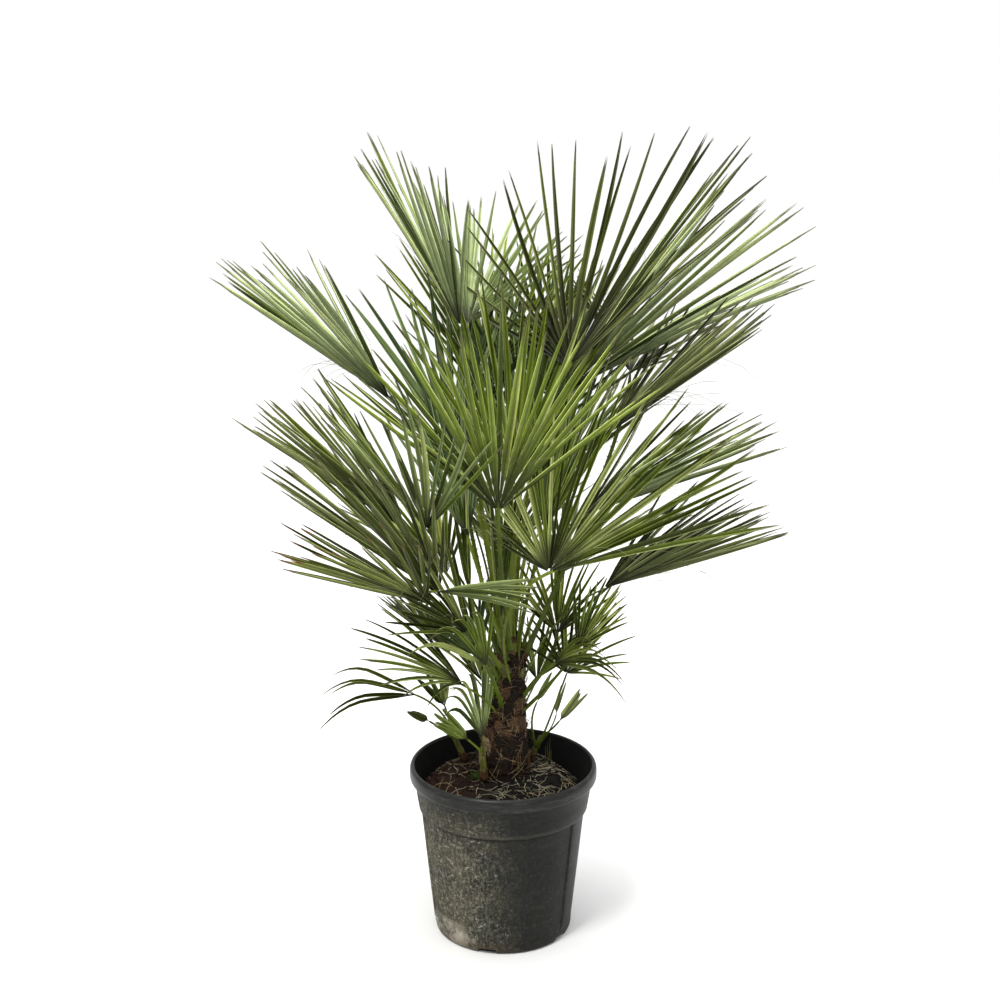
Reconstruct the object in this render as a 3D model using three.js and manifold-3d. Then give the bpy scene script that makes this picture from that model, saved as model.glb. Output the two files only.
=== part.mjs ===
// A European fan palm in a round plastic pot: one fibrous trunk, small shoots at its foot, and fan fronds.
// Millimetres, +Z up. The origin is the centre of the pot's flat underside, and the plant's front faces -Y.

import * as THREE from "three";
import { mergeVertices } from "three/addons/utils/BufferGeometryUtils.js";
import Module from "manifold-3d";

const wasm = await Module();
wasm.setup();

// Pot
const POT_HEIGHT = 329;
const RIM_RADIUS = 174;
const RIM_BAND = 27;
const RIM_ROLL = 6;
const COLLAR_RADIUS = 165;
const COLLAR_FOOT = 246;
const BODY_TOP_RADIUS = 154;
const BASE_RADIUS = 129;
const FOOT_HEIGHT = 24;
const FOOT_ROUND = 5;
const STEP = 3;
const WALL = 4;
const FLOOR = 10;
const PANELS = 8;
const FACETS_PER_PANEL = 5;
const PANEL_DEPTH = 2.5;
const NOTCHES = 5;
const FIRST_NOTCH = -14;
const NOTCH_SIZE = [34, 24, 14];
const POT_FACETS = PANELS * FACETS_PER_PANEL;
const INNER_WALL = [
  [FLOOR, BASE_RADIUS - WALL - STEP],
  [COLLAR_FOOT, BODY_TOP_RADIUS - PANEL_DEPTH - WALL],
  [POT_HEIGHT - RIM_BAND, COLLAR_RADIUS - WALL],
];

// Potting soil
const GROUND = 312;
const GROUND_RADIUS = 98;
const SOIL_EDGE = 272;
const SOIL_SHOULDER = [22, 9];
const SOIL_TILT = 8;
const SOIL_CRUMBLE = 5;
const SEAT_GAP = 0.3;
const WALL_GAP = 0.5;

// Trunk
const TRUNK_AXIS = [[1, 0, 0], [1, 0, 90], [8, 0, 168], [16, 0, 278]];
const TRUNK_RADII = [[0, 50], [0.08, 45], [0.25, 38], [0.5, 32], [0.72, 26], [0.88, 17], [1, 7]];
const TRUNK_SIDES = 14;
const TRUNK_STEPS = 14;
const LEAF_BASE_RELIEF = 0.05;
const LEAF_BASES_ROUND = 3;
const LEAF_BASE_TURN = 2.4;
const CROWN_SHARE = 0.6;

// Fronds
const PETIOLE_RADII = [4.8, 3.2];
const SHOOT_PETIOLE_RADII = [2.6, 2];
const PETIOLE_SIDES = 5;
const PETIOLE_STEPS = 5;
const CLEFT_SHARE = 0.3;
const GATHERED = 0.12;
const WIDEST_SHARE = 0.5;
const WIDEST_FILL = 0.5;
const SIDE_SHORTENING = 0.3;
const BLADE_THICKNESS_SHARE = 0.0125;
const HUB_SHARE = 0.04;
const HASTULA_SHARE = 0.06;
const CLEARANCE = 0.4;
const PETIOLE_FEET = [0.42, 0.88];
const SHOOT_FEET = [0.4, 0.85];
const FOOT_OFFSET = 0.6;
const PETIOLE_ARCH = 0.4;
const PETIOLE_TAPER_SHARE = 0.6;
const LENGTH_SHARES = [0.94, 1.02];
const SIDESTEPS = [0, 22, -22, 44, -44, 70, -70, 95, -95];
const SWINGS = [0, 25, -25, 50, -50];
const SLIPS = [0, 0.05, -0.05, 0.1, -0.1];
const SHORTENINGS = [1, 0.9, 0.78];
const BENDS = [0, 0.06, -0.06, 0.13, -0.13, 0.2, -0.2];

const degrees = THREE.MathUtils.degToRad;
const place = (x, y, z) => new THREE.Vector3(x, y, z);
const UP = place(0, 0, 1);

// A repeatable number from 0 to 1 for two whole numbers.
function chance(a, b) {
  const v = Math.sin(a * 12.9898 + b * 78.233) * 43758.5453;
  return v - Math.floor(v);
}

// The value at t of a line through [t, value] pairs.
function along(pairs, t) {
  const next = Math.max(1, pairs.findIndex(([at]) => at >= t));
  const [t0, v0] = pairs[next - 1];
  const [t1, v1] = pairs[next];
  return THREE.MathUtils.lerp(v0, v1, THREE.MathUtils.clamp((t - t0) / (t1 - t0), 0, 1));
}

function solidOf(geometry) {
  const bare = geometry.clone();
  bare.deleteAttribute("normal");
  bare.deleteAttribute("uv");
  const merged = mergeVertices(bare, 1e-3);
  return new wasm.Manifold(
    new wasm.Mesh({
      numProp: 3,
      vertProperties: merged.attributes.position.array,
      triVerts: new Uint32Array(merged.index.array),
    }),
  );
}

function geometryOf(solid) {
  const { vertProperties, numProp, numVert, triVerts } = solid.getMesh();
  const positions = new Float32Array(numVert * 3);
  for (let i = 0; i < numVert; i++) {
    positions.set(vertProperties.subarray(i * numProp, i * numProp + 3), i * 3);
  }
  const geometry = new THREE.BufferGeometry();
  geometry.setAttribute("position", new THREE.BufferAttribute(positions, 3));
  geometry.setIndex(new THREE.BufferAttribute(triVerts, 1));
  geometry.computeVertexNormals();
  return geometry;
}

// Materials
const finish = (color, roughness) => new THREE.MeshStandardMaterial({ color, roughness, metalness: 0 });
const potPlastic = finish(0x3b3c3b, 0.6);
const soilBrown = finish(0x2e2119, 1);
const trunkFibre = finish(0x4a3524, 0.95);
const shootGreen = finish(0x6d7036, 0.7);
const frondGreen = finish(0x5f7431, 0.5);

const plant = new THREE.Group();

function addNode(name, geometry, material) {
  const mesh = new THREE.Mesh(geometry, material);
  mesh.name = name;
  plant.add(mesh);
}

// Pot and soil

// A lathe about +Z whose radius at each facet and height can be changed by a rule.
function turned(profile, shift = (radius) => radius) {
  const points = profile.map(([r, z]) => new THREE.Vector2(r, z));
  const geometry = new THREE.LatheGeometry(points, POT_FACETS).rotateX(Math.PI / 2);
  const at = geometry.attributes.position;
  const row = profile.length;
  for (let i = 0; i < at.count; i++) {
    const facet = Math.floor(i / row) % POT_FACETS;
    const [radius, z] = profile[i % row];
    const share = radius > 0 ? shift(radius, z, facet, i % row) / radius : 1;
    at.setXY(i, at.getX(i) * share, at.getY(i) * share);
  }
  return geometry;
}

function potSolid() {
  const inside = INNER_WALL.map(([z, radius]) => [radius, z]).reverse();
  const profile = [
    [0, 0],
    [BASE_RADIUS - 2 * FOOT_ROUND, 0],
    [BASE_RADIUS - FOOT_ROUND / 2, FOOT_ROUND],
    [BASE_RADIUS, FOOT_HEIGHT],
    [BASE_RADIUS + STEP, FOOT_HEIGHT + STEP],
    [BODY_TOP_RADIUS, COLLAR_FOOT - STEP],
    [BODY_TOP_RADIUS + STEP, COLLAR_FOOT],
    [COLLAR_RADIUS, POT_HEIGHT - RIM_BAND],
    [RIM_RADIUS - STEP, POT_HEIGHT - RIM_BAND],
    [RIM_RADIUS, POT_HEIGHT - RIM_BAND + STEP],
    [RIM_RADIUS, POT_HEIGHT - RIM_ROLL],
    [RIM_RADIUS - RIM_ROLL, POT_HEIGHT],
    [COLLAR_RADIUS, POT_HEIGHT - STEP],
    ...inside,
    [0, FLOOR],
  ];
  const panelRows = [4, 5];
  const onPanel = (facet) => facet % FACETS_PER_PANEL !== 0;
  const body = turned(profile, (radius, z, facet, row) =>
    panelRows.includes(row) && onPanel(facet) ? radius - PANEL_DEPTH : radius,
  );
  let pot = solidOf(body);
  for (let i = 0; i < NOTCHES; i++) {
    const notch = new THREE.BoxGeometry(...NOTCH_SIZE)
      .translate(0, -BASE_RADIUS, 0)
      .rotateZ(degrees(FIRST_NOTCH + (360 * i) / NOTCHES));
    pot = pot.subtract(solidOf(notch));
  }
  return pot;
}

// The soil is level where stems stand, and falls away to the wall, lower at the right.
function soilSolid() {
  const reach = (z) => along(INNER_WALL, z) - WALL_GAP;
  const profile = [
    [0, FLOOR + SEAT_GAP],
    [reach(FLOOR), FLOOR + SEAT_GAP],
    [reach(COLLAR_FOOT), COLLAR_FOOT],
    [reach(SOIL_EDGE), SOIL_EDGE],
    [GROUND_RADIUS + SOIL_SHOULDER[0], GROUND - SOIL_SHOULDER[1]],
    [GROUND_RADIUS, GROUND],
    [0, GROUND],
  ];
  const edgeRow = 3;
  const shoulderRow = 4;
  const geometry = turned(profile);
  const at = geometry.attributes.position;
  for (let i = 0; i < at.count; i++) {
    const row = i % profile.length;
    if (row !== edgeRow && row !== shoulderRow) continue;
    const facet = Math.floor(i / profile.length) % POT_FACETS;
    const radius = Math.hypot(at.getX(i), at.getY(i));
    const tilt = (SOIL_TILT * (at.getX(i) + at.getY(i))) / (2 * radius);
    const lowered = at.getZ(i) - tilt - SOIL_CRUMBLE * chance(facet, row);
    const share = row === edgeRow ? reach(lowered) / radius : 1;
    at.setXYZ(i, at.getX(i) * share, at.getY(i) * share, lowered);
  }
  return solidOf(geometry);
}

// Limbs

// A closed limb of round section along a curve, with the radius at each share of its length.
function limb(curve, radiusAt, sides, steps, swell = () => 1) {
  const geometry = new THREE.CylinderGeometry(1, 1, 1, sides, steps);
  const at = geometry.attributes.position;
  const frames = curve.computeFrenetFrames(steps);
  for (let i = 0; i < at.count; i++) {
    const t = THREE.MathUtils.clamp(at.getY(i) + 0.5, 0, 1);
    const step = Math.round(t * steps);
    const spin = Math.atan2(at.getZ(i), at.getX(i));
    const hub = Math.hypot(at.getX(i), at.getZ(i)) < 0.5;
    const radius = hub ? 0 : radiusAt(t) * swell(step, spin);
    const p = curve.getPointAt(t)
      .addScaledVector(frames.normals[step], -radius * Math.cos(spin))
      .addScaledVector(frames.binormals[step], radius * Math.sin(spin));
    at.setXYZ(i, p.x, p.y, p.z);
  }
  return solidOf(geometry);
}

const stems = {
  trunk: {
    axis: new THREE.CubicBezierCurve3(
      ...TRUNK_AXIS.map(([x, y, height]) => place(x, y, GROUND + SEAT_GAP + height)),
    ),
    radiusAt: (t) => along(TRUNK_RADII, t),
    sides: TRUNK_SIDES,
    steps: TRUNK_STEPS,
    material: trunkFibre,
  },
};

// Small shoots at the trunk's foot: [name, foot x, foot y, top x, top y, height].
const SHOOTS = [
  ["left_shoot", -72, 46, -94, 40, 56],
  ["front_shoot", -35, -52, -38, -62, 76],
  ["right_shoot", 50, 39, 72, 26, 62],
  ["back_shoot", -12, 68, -4, 92, 60],
];
const SHOOT_RADII = [[0, 10], [0.3, 8], [1, 4]];
for (const [name, footX, footY, topX, topY, height] of SHOOTS) {
  stems[name] = {
    axis: new THREE.LineCurve3(
      place(footX, footY, GROUND + SEAT_GAP),
      place(topX, topY, GROUND + height),
    ),
    radiusAt: (t) => along(SHOOT_RADII, t),
    sides: 8,
    steps: 3,
    material: shootGreen,
  };
}

function stemSolid(stem, extra = 0) {
  const relief = stem === stems.trunk ? LEAF_BASE_RELIEF : 0;
  const leafBases = (step, spin) => 1 + relief * Math.cos(LEAF_BASES_ROUND * spin + LEAF_BASE_TURN * step);
  const solid = limb(stem.axis, (t) => stem.radiusAt(t) + extra, stem.sides, stem.steps, leafBases);
  return solid.add(solid.translate([0, 0, extra])).trimByPlane([0, 0, 1], GROUND + SEAT_GAP);
}

// Fronds

// Each frond: its name and stem; its hub, where petiole and fan meet (x, y, z); the way its middle leaflet
// points, as its turn in the front view (0 right, 90 up) and its lean away from the front; the roll of the
// blade about that leaflet; the fan's radius; its spread to the left and right of the middle; the fold of
// its halves towards the upper side; the droop of its tips as a share of length; and its leaflets.
// Lengths in mm, angles in degrees.
const FRONDS = [
  ["top_right", "trunk", [116, 20, 1074], [53, 14], 14, 500, [95, 55], 24, 0, 15],
  ["top_left", "trunk", [-75, -20, 1152], [120, 0], 8, 368, [60, 56], 24, 0, 12],
  ["top_middle", "trunk", [-64, 110, 1131], [86, 48], 14, 320, [50, 60], 20, 0, 11],
  ["left_upper", "trunk", [-197, -40, 1027], [142, -8], 8, 380, [50, 60], 30, 0, 14],
  ["centre_front", "trunk", [-9, -190, 868], [90, -32], 0, 430, [60, 60], 15, 0, 14],
  ["left_middle", "trunk", [-132, -120, 815], [122, -32], -6, 355, [62, 62], 30, 0, 13],
  ["left_lower_back", "trunk", [-178, 15, 776], [147, 5], 16, 365, [66, 50], 30, 0, 13],
  ["left_lower_front", "trunk", [-116, -60, 677], [140, -12], 8, 395, [64, 52], 30, 0, 13],
  ["left_bottom", "trunk", [-133, -130, 685], [155, -28], 10, 295, [66, 66], 30, 0, 11],
  ["left_under", "trunk", [-96, -40, 560], [138, -10], 8, 175, [64, 64], 30, 0.02, 10],
  ["right_far", "trunk", [117, 60, 1022], [27, 8], -32, 535, [54, 54], 24, 0.03, 13],
  ["right_back", "trunk", [238, 220, 1022], [80, 78], 20, 280, [80, 80], 34, 0.02, 10],
  ["right_upper", "trunk", [184, -30, 965], [34, 0], -6, 360, [58, 48], 26, 0, 12],
  ["right_middle", "trunk", [149, 20, 803], [19, 0], -4, 380, [60, 66], 30, 0, 13],
  ["right_front", "trunk", [78, -160, 751], [20, -8], 50, 425, [128, 10], 14, 0, 15],
  ["right_lower", "trunk", [182, 0, 669], [16, 0], -6, 345, [62, 62], 30, 0, 11],
  ["right_under", "right_shoot", [116, -10, 508], [68, 25], 0, 185, [78, 84], 12, 0.14, 11],
  ["right_under_back", "trunk", [100, 40, 568], [88, 14], -6, 175, [62, 62], 16, 0.04, 9],
  ["left_inner", "trunk", [-88, 62, 925], [101, 32], -20, 350, [36, 62], 20, 0, 12],
  ["right_inner", "trunk", [46, 112, 915], [76, 35], 0, 395, [66, 66], 20, 0, 12],
  ["young_spear", "trunk", [-4, -84, 640], [89, 4], 10, 290, [12, 12], 10, 0, 4],
  ["left_spear", "trunk", [-58, -66, 672], [97, 0], -80, 220, [9, 9], 10, 0, 3],
  ["front_low", "trunk", [-118, -150, 712], [6, -14], -70, 195, [12, 14], 4, 0.08, 4],
  ["left_drooping", "trunk", [-72, -92, 518], [147, -14], -18, 255, [60, 54], 20, 0.2, 9],
  ["left_small", "left_shoot", [-160, 0, 462], [162, -4], -70, 188, [28, 26], 6, 0.12, 6],
  ["left_upright", "left_shoot", [-108, 22, 430], [106, 4], -60, 85, [28, 34], 8, 0, 4],
  ["left_bud", "left_shoot", [-136, 4, 408], [152, 0], -60, 46, [8, 8], 0, 0, 2],
  ["front_straps", "front_shoot", [-38, -66, 404], [98, -6], -80, 215, [34, 34], 6, 0.12, 6],
  ["centre_tall", "trunk", [14, -30, 870], [92, 16], 0, 370, [44, 44], 12, 0, 9],
  ["inner_left", "trunk", [-62, -70, 785], [108, 16], 0, 320, [38, 38], 14, 0, 8],
  ["inner_right", "trunk", [72, -40, 790], [72, 16], 0, 340, [40, 40], 14, 0, 8],
  ["right_arching", "trunk", [92, -44, 540], [36, -16], 80, 150, [34, 34], 6, 0.3, 5],
  ["front_under", "trunk", [-30, -110, 560], [112, -16], -110, 190, [40, 40], 8, 0.12, 6],
  ["left_under_front", "trunk", [-64, -100, 620], [128, -20], -80, 200, [44, 44], 14, 0.04, 7],
  ["right_under_outer", "trunk", [134, -34, 566], [58, 8], 16, 150, [52, 52], 12, 0.06, 6],
  ["left_curling", "trunk", [-50, -60, 560], [104, -8], -90, 165, [48, 40], 10, 0.08, 5],
  ["front_strap_low", "front_shoot", [-62, -72, 402], [136, -10], -60, 92, [20, 20], 6, 0.06, 3],
  ["right_bud_inner", "right_shoot", [62, 8, 444], [62, 0], -70, 72, [8, 8], 0, 0, 2],
  ["right_bud_middle", "right_shoot", [98, 16, 416], [78, 6], -70, 66, [9, 9], 0, 0, 2],
  ["right_bud_outer", "right_shoot", [102, -8, 412], [54, -4], -70, 82, [14, 12], 0, 0, 3],
];

// The back of the crown isn't seen: tiers of fronds at even azimuths, as on the front.
// Each tier: name, first azimuth, step, count, reach and height of the hubs, lift, fan radius.
const BACK_TIERS = [
  ["back_low", 50, 40, 3, 165, 655, 14, 300],
  ["back_middle", 68, 40, 2, 200, 800, 30, 350],
  ["back_upper", 62, 36, 2, 190, 975, 44, 370],
];
const BACK_SPREAD = 62;
const BACK_FOLD = 30;
const BACK_DROOP = 0.02;
const BACK_LEAFLETS = 11;
for (const [name, first, step, count, reach, height, lift, radius] of BACK_TIERS) {
  for (let i = 0; i < count; i++) {
    const azimuth = degrees(first + i * step);
    const hub = [reach * Math.cos(azimuth), reach * Math.sin(azimuth), height + 20 * (i % 2)];
    const aim = frontAim(azimuth, degrees(lift + 4 * i));
    const spread = [BACK_SPREAD, BACK_SPREAD];
    FRONDS.push([
      `${name}_${i + 1}`, "trunk", hub, aim, 0, radius - 10 * i, spread, BACK_FOLD, BACK_DROOP, BACK_LEAFLETS,
    ]);
  }
}
FRONDS.push(["back_small_1", "back_shoot", [64, 136, 440], [62, 50], 0, 170, [60, 60], 20, 0.08, 7]);
FRONDS.push(["back_small_2", "back_shoot", [-40, 146, 432], [104, 52], 0, 160, [55, 55], 20, 0.08, 6]);

// The turn and lean, in degrees, of a direction given by its azimuth and lift.
function frontAim(azimuth, lift) {
  const away = Math.sin(azimuth) * Math.cos(lift);
  const turn = Math.atan2(Math.sin(lift), Math.cos(azimuth) * Math.cos(lift));
  return [THREE.MathUtils.radToDeg(turn), THREE.MathUtils.radToDeg(Math.asin(away))];
}

// The fan's own directions: out along its middle leaflet, up out of its upper side, and across to its right.
function fanFrame([turn, lean], roll) {
  const t = degrees(turn);
  const l = degrees(lean);
  const out = place(Math.cos(t) * Math.cos(l), Math.sin(l), Math.sin(t) * Math.cos(l));
  const face = UP.clone().addScaledVector(out, -out.z).normalize();
  face.applyAxisAngle(out, degrees(roll));
  return { out, face, across: out.clone().cross(face) };
}

// The direction of a leaflet at an angle from the middle one. Both halves of the fan fold towards its face.
function leafletDirection({ out, face, across }, angle, fold) {
  const side = Math.sin(angle);
  return out.clone().multiplyScalar(Math.cos(angle))
    .addScaledVector(across, side * Math.cos(fold))
    .addScaledVector(face, Math.abs(side) * Math.sin(fold))
    .normalize();
}

// A closed slab: a sheet of triangles given both thickness and an edge.
function slab(points, triangles, offset) {
  const positions = [];
  for (const side of [1, -1]) {
    for (const p of points) positions.push(...p.clone().addScaledVector(offset, side).toArray());
  }
  const under = points.length;
  const index = [];
  const edges = new Set();
  for (const [a, b, c] of triangles) {
    index.push(a, b, c, c + under, b + under, a + under);
    for (const [from, to] of [[a, b], [b, c], [c, a]]) edges.add(`${from},${to}`);
  }
  for (const edge of edges) {
    const [a, b] = edge.split(",").map(Number);
    if (!edges.has(`${b},${a}`)) index.push(b, a, a + under, b, a + under, b + under);
  }
  const geometry = new THREE.BufferGeometry();
  geometry.setAttribute("position", new THREE.Float32BufferAttribute(positions, 3));
  geometry.setIndex(index);
  const solid = solidOf(geometry);
  if (solid.volume() > 0) return solid;
  const flipped = index.map((_, i) => index[i - (i % 3) + [0, 2, 1][i % 3]]);
  return solidOf(geometry.setIndex(flipped));
}

// What a new leaflet must keep clear of.
const obstacles = [];
function addObstacle(owner, solid) {
  obstacles.push({ owner, solid, box: solid.boundingBox() });
}
function isClear(owner, solid) {
  const { min, max } = solid.boundingBox();
  return obstacles.every(
    (o) =>
      o.owner === owner ||
      [0, 1, 2].some((k) => o.box.min[k] > max[k] || o.box.max[k] < min[k]) ||
      o.solid.intersect(solid).volume() < 1e-6,
  );
}

class Frond {
  constructor([name, stem, hub, rib, roll, radius, spread, fold, droop, leaflets], number) {
    Object.assign(this, { name, stem, radius, droop, leaflets, number });
    this.hub = place(...hub);
    this.fold = degrees(fold);
    this.spread = spread.map(degrees);
    this.frame = fanFrame(rib, roll);
    this.halfThickness = (radius * BLADE_THICKNESS_SHARE) / 2;
    this.kept = [];
  }

  // How steeply the frond's hub stands over its stem: the flatter fronds are the older and lower ones.
  steepness() {
    const foot = stems[this.stem].axis.getPointAt(CROWN_SHARE);
    return Math.atan2(this.hub.z - foot.z, Math.hypot(this.hub.x - foot.x, this.hub.y - foot.y));
  }

  // The petiole leaves its stem at a height by the frond's rank, bows a little, and runs on into the fan.
  petiole(rank, { slip, swing, sidestep }) {
    const stem = stems[this.stem];
    const onTrunk = this.stem === "trunk";
    const feet = onTrunk ? PETIOLE_FEET : SHOOT_FEET;
    const share = THREE.MathUtils.lerp(...feet, rank) + slip;
    const foot = stem.axis.getPointAt(share);
    const outward = this.hub.clone().sub(foot).setZ(0).normalize().applyAxisAngle(UP, degrees(swing));
    foot.addScaledVector(outward, FOOT_OFFSET * stem.radiusAt(share));
    const tip = this.hub.clone().addScaledVector(this.frame.out, HASTULA_SHARE * this.radius);
    const aside = this.hub.clone().sub(foot).cross(UP).normalize();
    const bend = this.hub.clone()
      .addScaledVector(this.frame.out, -PETIOLE_ARCH * this.hub.distanceTo(foot))
      .addScaledVector(aside, sidestep);
    const curve = new THREE.QuadraticBezierCurve3(foot, bend, tip);
    const [thick, thin] = onTrunk ? PETIOLE_RADII : SHOOT_PETIOLE_RADII;
    const radiusAt = (t) => THREE.MathUtils.lerp(thick, thin, Math.min(1, t / PETIOLE_TAPER_SHARE));
    return limb(curve, radiusAt, PETIOLE_SIDES, PETIOLE_STEPS).subtract(stemSolid(stem, SEAT_GAP));
  }

  // A petiole that would touch an earlier one leaves its stem a little aside, higher or lower, or bows out.
  settlePetiole(rank) {
    const trials = [];
    for (const sidestep of SIDESTEPS) {
      for (const swing of SWINGS) {
        for (const slip of SLIPS) trials.push({ slip, swing, sidestep });
      }
    }
    const fit = trials.find((trial) => isClear(this.name, this.petiole(rank, trial))) ?? trials[0];
    this.petioleSolid = this.petiole(rank, fit);
    addObstacle(this.name, this.petioleSolid);
  }

  hubSolid(extra) {
    const ring = [];
    for (let i = 0; i <= this.leaflets; i++) ring.push(this.point(this.angle(i), HUB_SHARE, this.radius));
    const triangles = ring.slice(1).map((_, i) => [0, i + 1, i + 2]);
    return slab([this.hub, ...ring], triangles, this.grown(extra));
  }

  // Leaflets stand closer together about the middle of a fan than at its sides.
  angle(i) {
    const [left, right] = this.spread;
    const even = (left + right) * (i / this.leaflets) - left;
    return even - GATHERED * Math.sin(2 * even);
  }

  point(angle, share, length, bend = 0) {
    const reach = share * length;
    return this.hub.clone()
      .addScaledVector(leafletDirection(this.frame, angle, this.fold), reach)
      .addScaledVector(this.frame.face, bend * Math.max(0, reach - CLEFT_SHARE * this.radius))
      .addScaledVector(UP, -this.droop * length * share * share);
  }

  length(i) {
    const turn = Math.abs(this.angle(i + 0.5)) / degrees(90);
    const share = THREE.MathUtils.lerp(...LENGTH_SHARES, chance(this.number, i));
    return this.radius * (1 - SIDE_SHORTENING * turn * turn) * share;
  }

  // Points of wedge i, from the hub to the clefts beside its leaflet.
  wedge(i) {
    const ring = (k, share) => this.point(this.angle(k), share, this.radius);
    return [ring(i, HUB_SHARE), ring(i, CLEFT_SHARE), ring(i + 1, CLEFT_SHARE), ring(i + 1, HUB_SHARE)];
  }

  // Points of leaflet i beyond the clefts: its widest place and its tip.
  blade(i, shorten, bend) {
    const middle = this.angle(i + 0.5);
    const length = this.length(i) * shorten;
    const widest = (WIDEST_SHARE * this.radius) / length;
    const halfTurn = ((this.angle(i + 1) - this.angle(i)) / 2) * WIDEST_FILL;
    return [
      this.point(middle - halfTurn, widest, length, bend),
      this.point(middle, 1, length, bend),
      this.point(middle + halfTurn, widest, length, bend),
    ];
  }

  grown(extra) {
    return this.frame.face.clone().multiplyScalar(this.halfThickness + extra);
  }

  wedgeIsClear(i) {
    return isClear(this.name, slab(this.wedge(i), [[0, 1, 2], [0, 2, 3]], this.grown(CLEARANCE)));
  }

  leafletSolid(i, shorten, bend, extra) {
    const [, left, right] = this.wedge(i);
    const [wideLeft, tip, wideRight] = this.blade(i, shorten, bend);
    const triangles = [[0, 1, 3], [0, 3, 4], [1, 2, 3]];
    return slab([left, wideLeft, tip, wideRight, right], triangles, this.grown(extra));
  }

  // A leaflet that would touch something is bent or shortened, and left out only if nothing helps.
  settle(i) {
    const trials = [];
    for (const shorten of SHORTENINGS) {
      for (const bend of BENDS) trials.push([shorten, bend]);
    }
    const fit = trials.find((trial) => isClear(this.name, this.leafletSolid(i, ...trial, CLEARANCE)));
    if (fit) {
      addObstacle(this.name, this.leafletSolid(i, ...fit, 0));
      this.kept[i] = fit;
    }
  }

  // The whole blade as one slab, cut between its leaflets.
  bladeSolid() {
    const points = [this.hub];
    const triangles = [];
    const add = (...more) => points.push(...more) - more.length;
    const ring = [];
    for (let i = 0; i <= this.leaflets; i++) {
      ring.push([
        add(this.point(this.angle(i), HUB_SHARE, this.radius)),
        add(this.point(this.angle(i), CLEFT_SHARE, this.radius)),
      ]);
    }
    for (let i = 0; i < this.leaflets; i++) {
      const [hubLeft, left] = ring[i];
      const [hubRight, right] = ring[i + 1];
      triangles.push([0, hubLeft, hubRight]);
      if (this.missing[i]) continue;
      triangles.push([hubLeft, left, right], [hubLeft, right, hubRight]);
      if (!this.kept[i]) continue;
      const first = add(...this.blade(i, ...this.kept[i]));
      triangles.push([left, first, first + 2], [left, first + 2, right], [first, first + 1, first + 2]);
    }
    const used = [...new Set(triangles.flat())];
    return slab(
      used.map((k) => points[k]),
      triangles.map((t) => t.map((k) => used.indexOf(k))),
      this.grown(0),
    );
  }
}

addNode("pot", geometryOf(potSolid()), potPlastic);
addNode("soil", geometryOf(soilSolid()), soilBrown);
for (const [name, stem] of Object.entries(stems)) {
  const solid = stemSolid(stem);
  addNode(name, geometryOf(solid), stem.material);
  addObstacle(name, solid);
}

const fronds = FRONDS.map((row, number) => new Frond(row, number));
for (const frond of fronds) {
  addObstacle(frond.name, frond.hubSolid(CLEARANCE));
}
const onTrunk = fronds.filter((frond) => frond.stem === "trunk");
onTrunk.sort((a, b) => a.steepness() - b.steepness());
onTrunk.forEach((frond, i) => frond.settlePetiole(i / (onTrunk.length - 1)));
for (const name of Object.keys(stems).filter((stem) => stem !== "trunk")) {
  const own = fronds.filter((frond) => frond.stem === name);
  own.forEach((frond, i) => frond.settlePetiole(i / Math.max(1, own.length - 1)));
}
for (const frond of fronds) {
  frond.missing = [];
  for (let i = 0; i < frond.leaflets; i++) {
    frond.missing[i] = !frond.wedgeIsClear(i);
    if (!frond.missing[i]) {
      addObstacle(frond.name, slab(frond.wedge(i), [[0, 1, 2], [0, 2, 3]], frond.grown(0)));
    }
  }
}
for (const frond of fronds) {
  for (let i = 0; i < frond.leaflets; i++) {
    if (!frond.missing[i]) frond.settle(i);
  }
  addNode(frond.name, geometryOf(frond.petioleSolid.add(frond.bladeSolid())), frondGreen);
}

export default plant;
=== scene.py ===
# A potted European fan palm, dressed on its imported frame.
# Shapes are worked out in millimetres and turned into metres when a mesh is made.
import math
from itertools import combinations

import bmesh
import bpy
import numpy as np
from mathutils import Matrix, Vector, noise


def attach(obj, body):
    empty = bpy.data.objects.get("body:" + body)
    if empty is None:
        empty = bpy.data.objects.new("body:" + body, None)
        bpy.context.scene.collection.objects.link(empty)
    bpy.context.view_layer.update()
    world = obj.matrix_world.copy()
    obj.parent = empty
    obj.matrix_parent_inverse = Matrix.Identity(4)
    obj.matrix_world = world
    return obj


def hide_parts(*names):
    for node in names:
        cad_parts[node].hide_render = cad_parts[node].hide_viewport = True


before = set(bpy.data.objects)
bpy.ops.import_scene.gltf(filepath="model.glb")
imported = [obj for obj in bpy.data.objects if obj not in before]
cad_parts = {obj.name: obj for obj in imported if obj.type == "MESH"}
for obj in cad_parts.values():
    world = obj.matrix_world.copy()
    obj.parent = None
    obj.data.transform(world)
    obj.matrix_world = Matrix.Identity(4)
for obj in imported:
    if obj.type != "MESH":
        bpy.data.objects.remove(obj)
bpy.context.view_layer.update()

# Camera and lights
CAMERA_PLACE = (-0.006, -3.2, 1.73)
CAMERA_TARGET = (-0.006, 0.0, 0.83)
LENS = 66.63
SENSOR = 36
SKY_AT_HORIZON = 0.35
SKY_OVERHEAD = 1.95
LIT_POINT = (0, 0, 0.8)
LIGHTS = [
    ("key", (-1.1, -1.9, 3.8), 1.0, 110, (1, 0.99, 0.95)),
    ("top", (0.5, 0.6, 3.9), 1.4, 100, (1, 1, 1)),
]
FLOOR_REACH = 300

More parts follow.
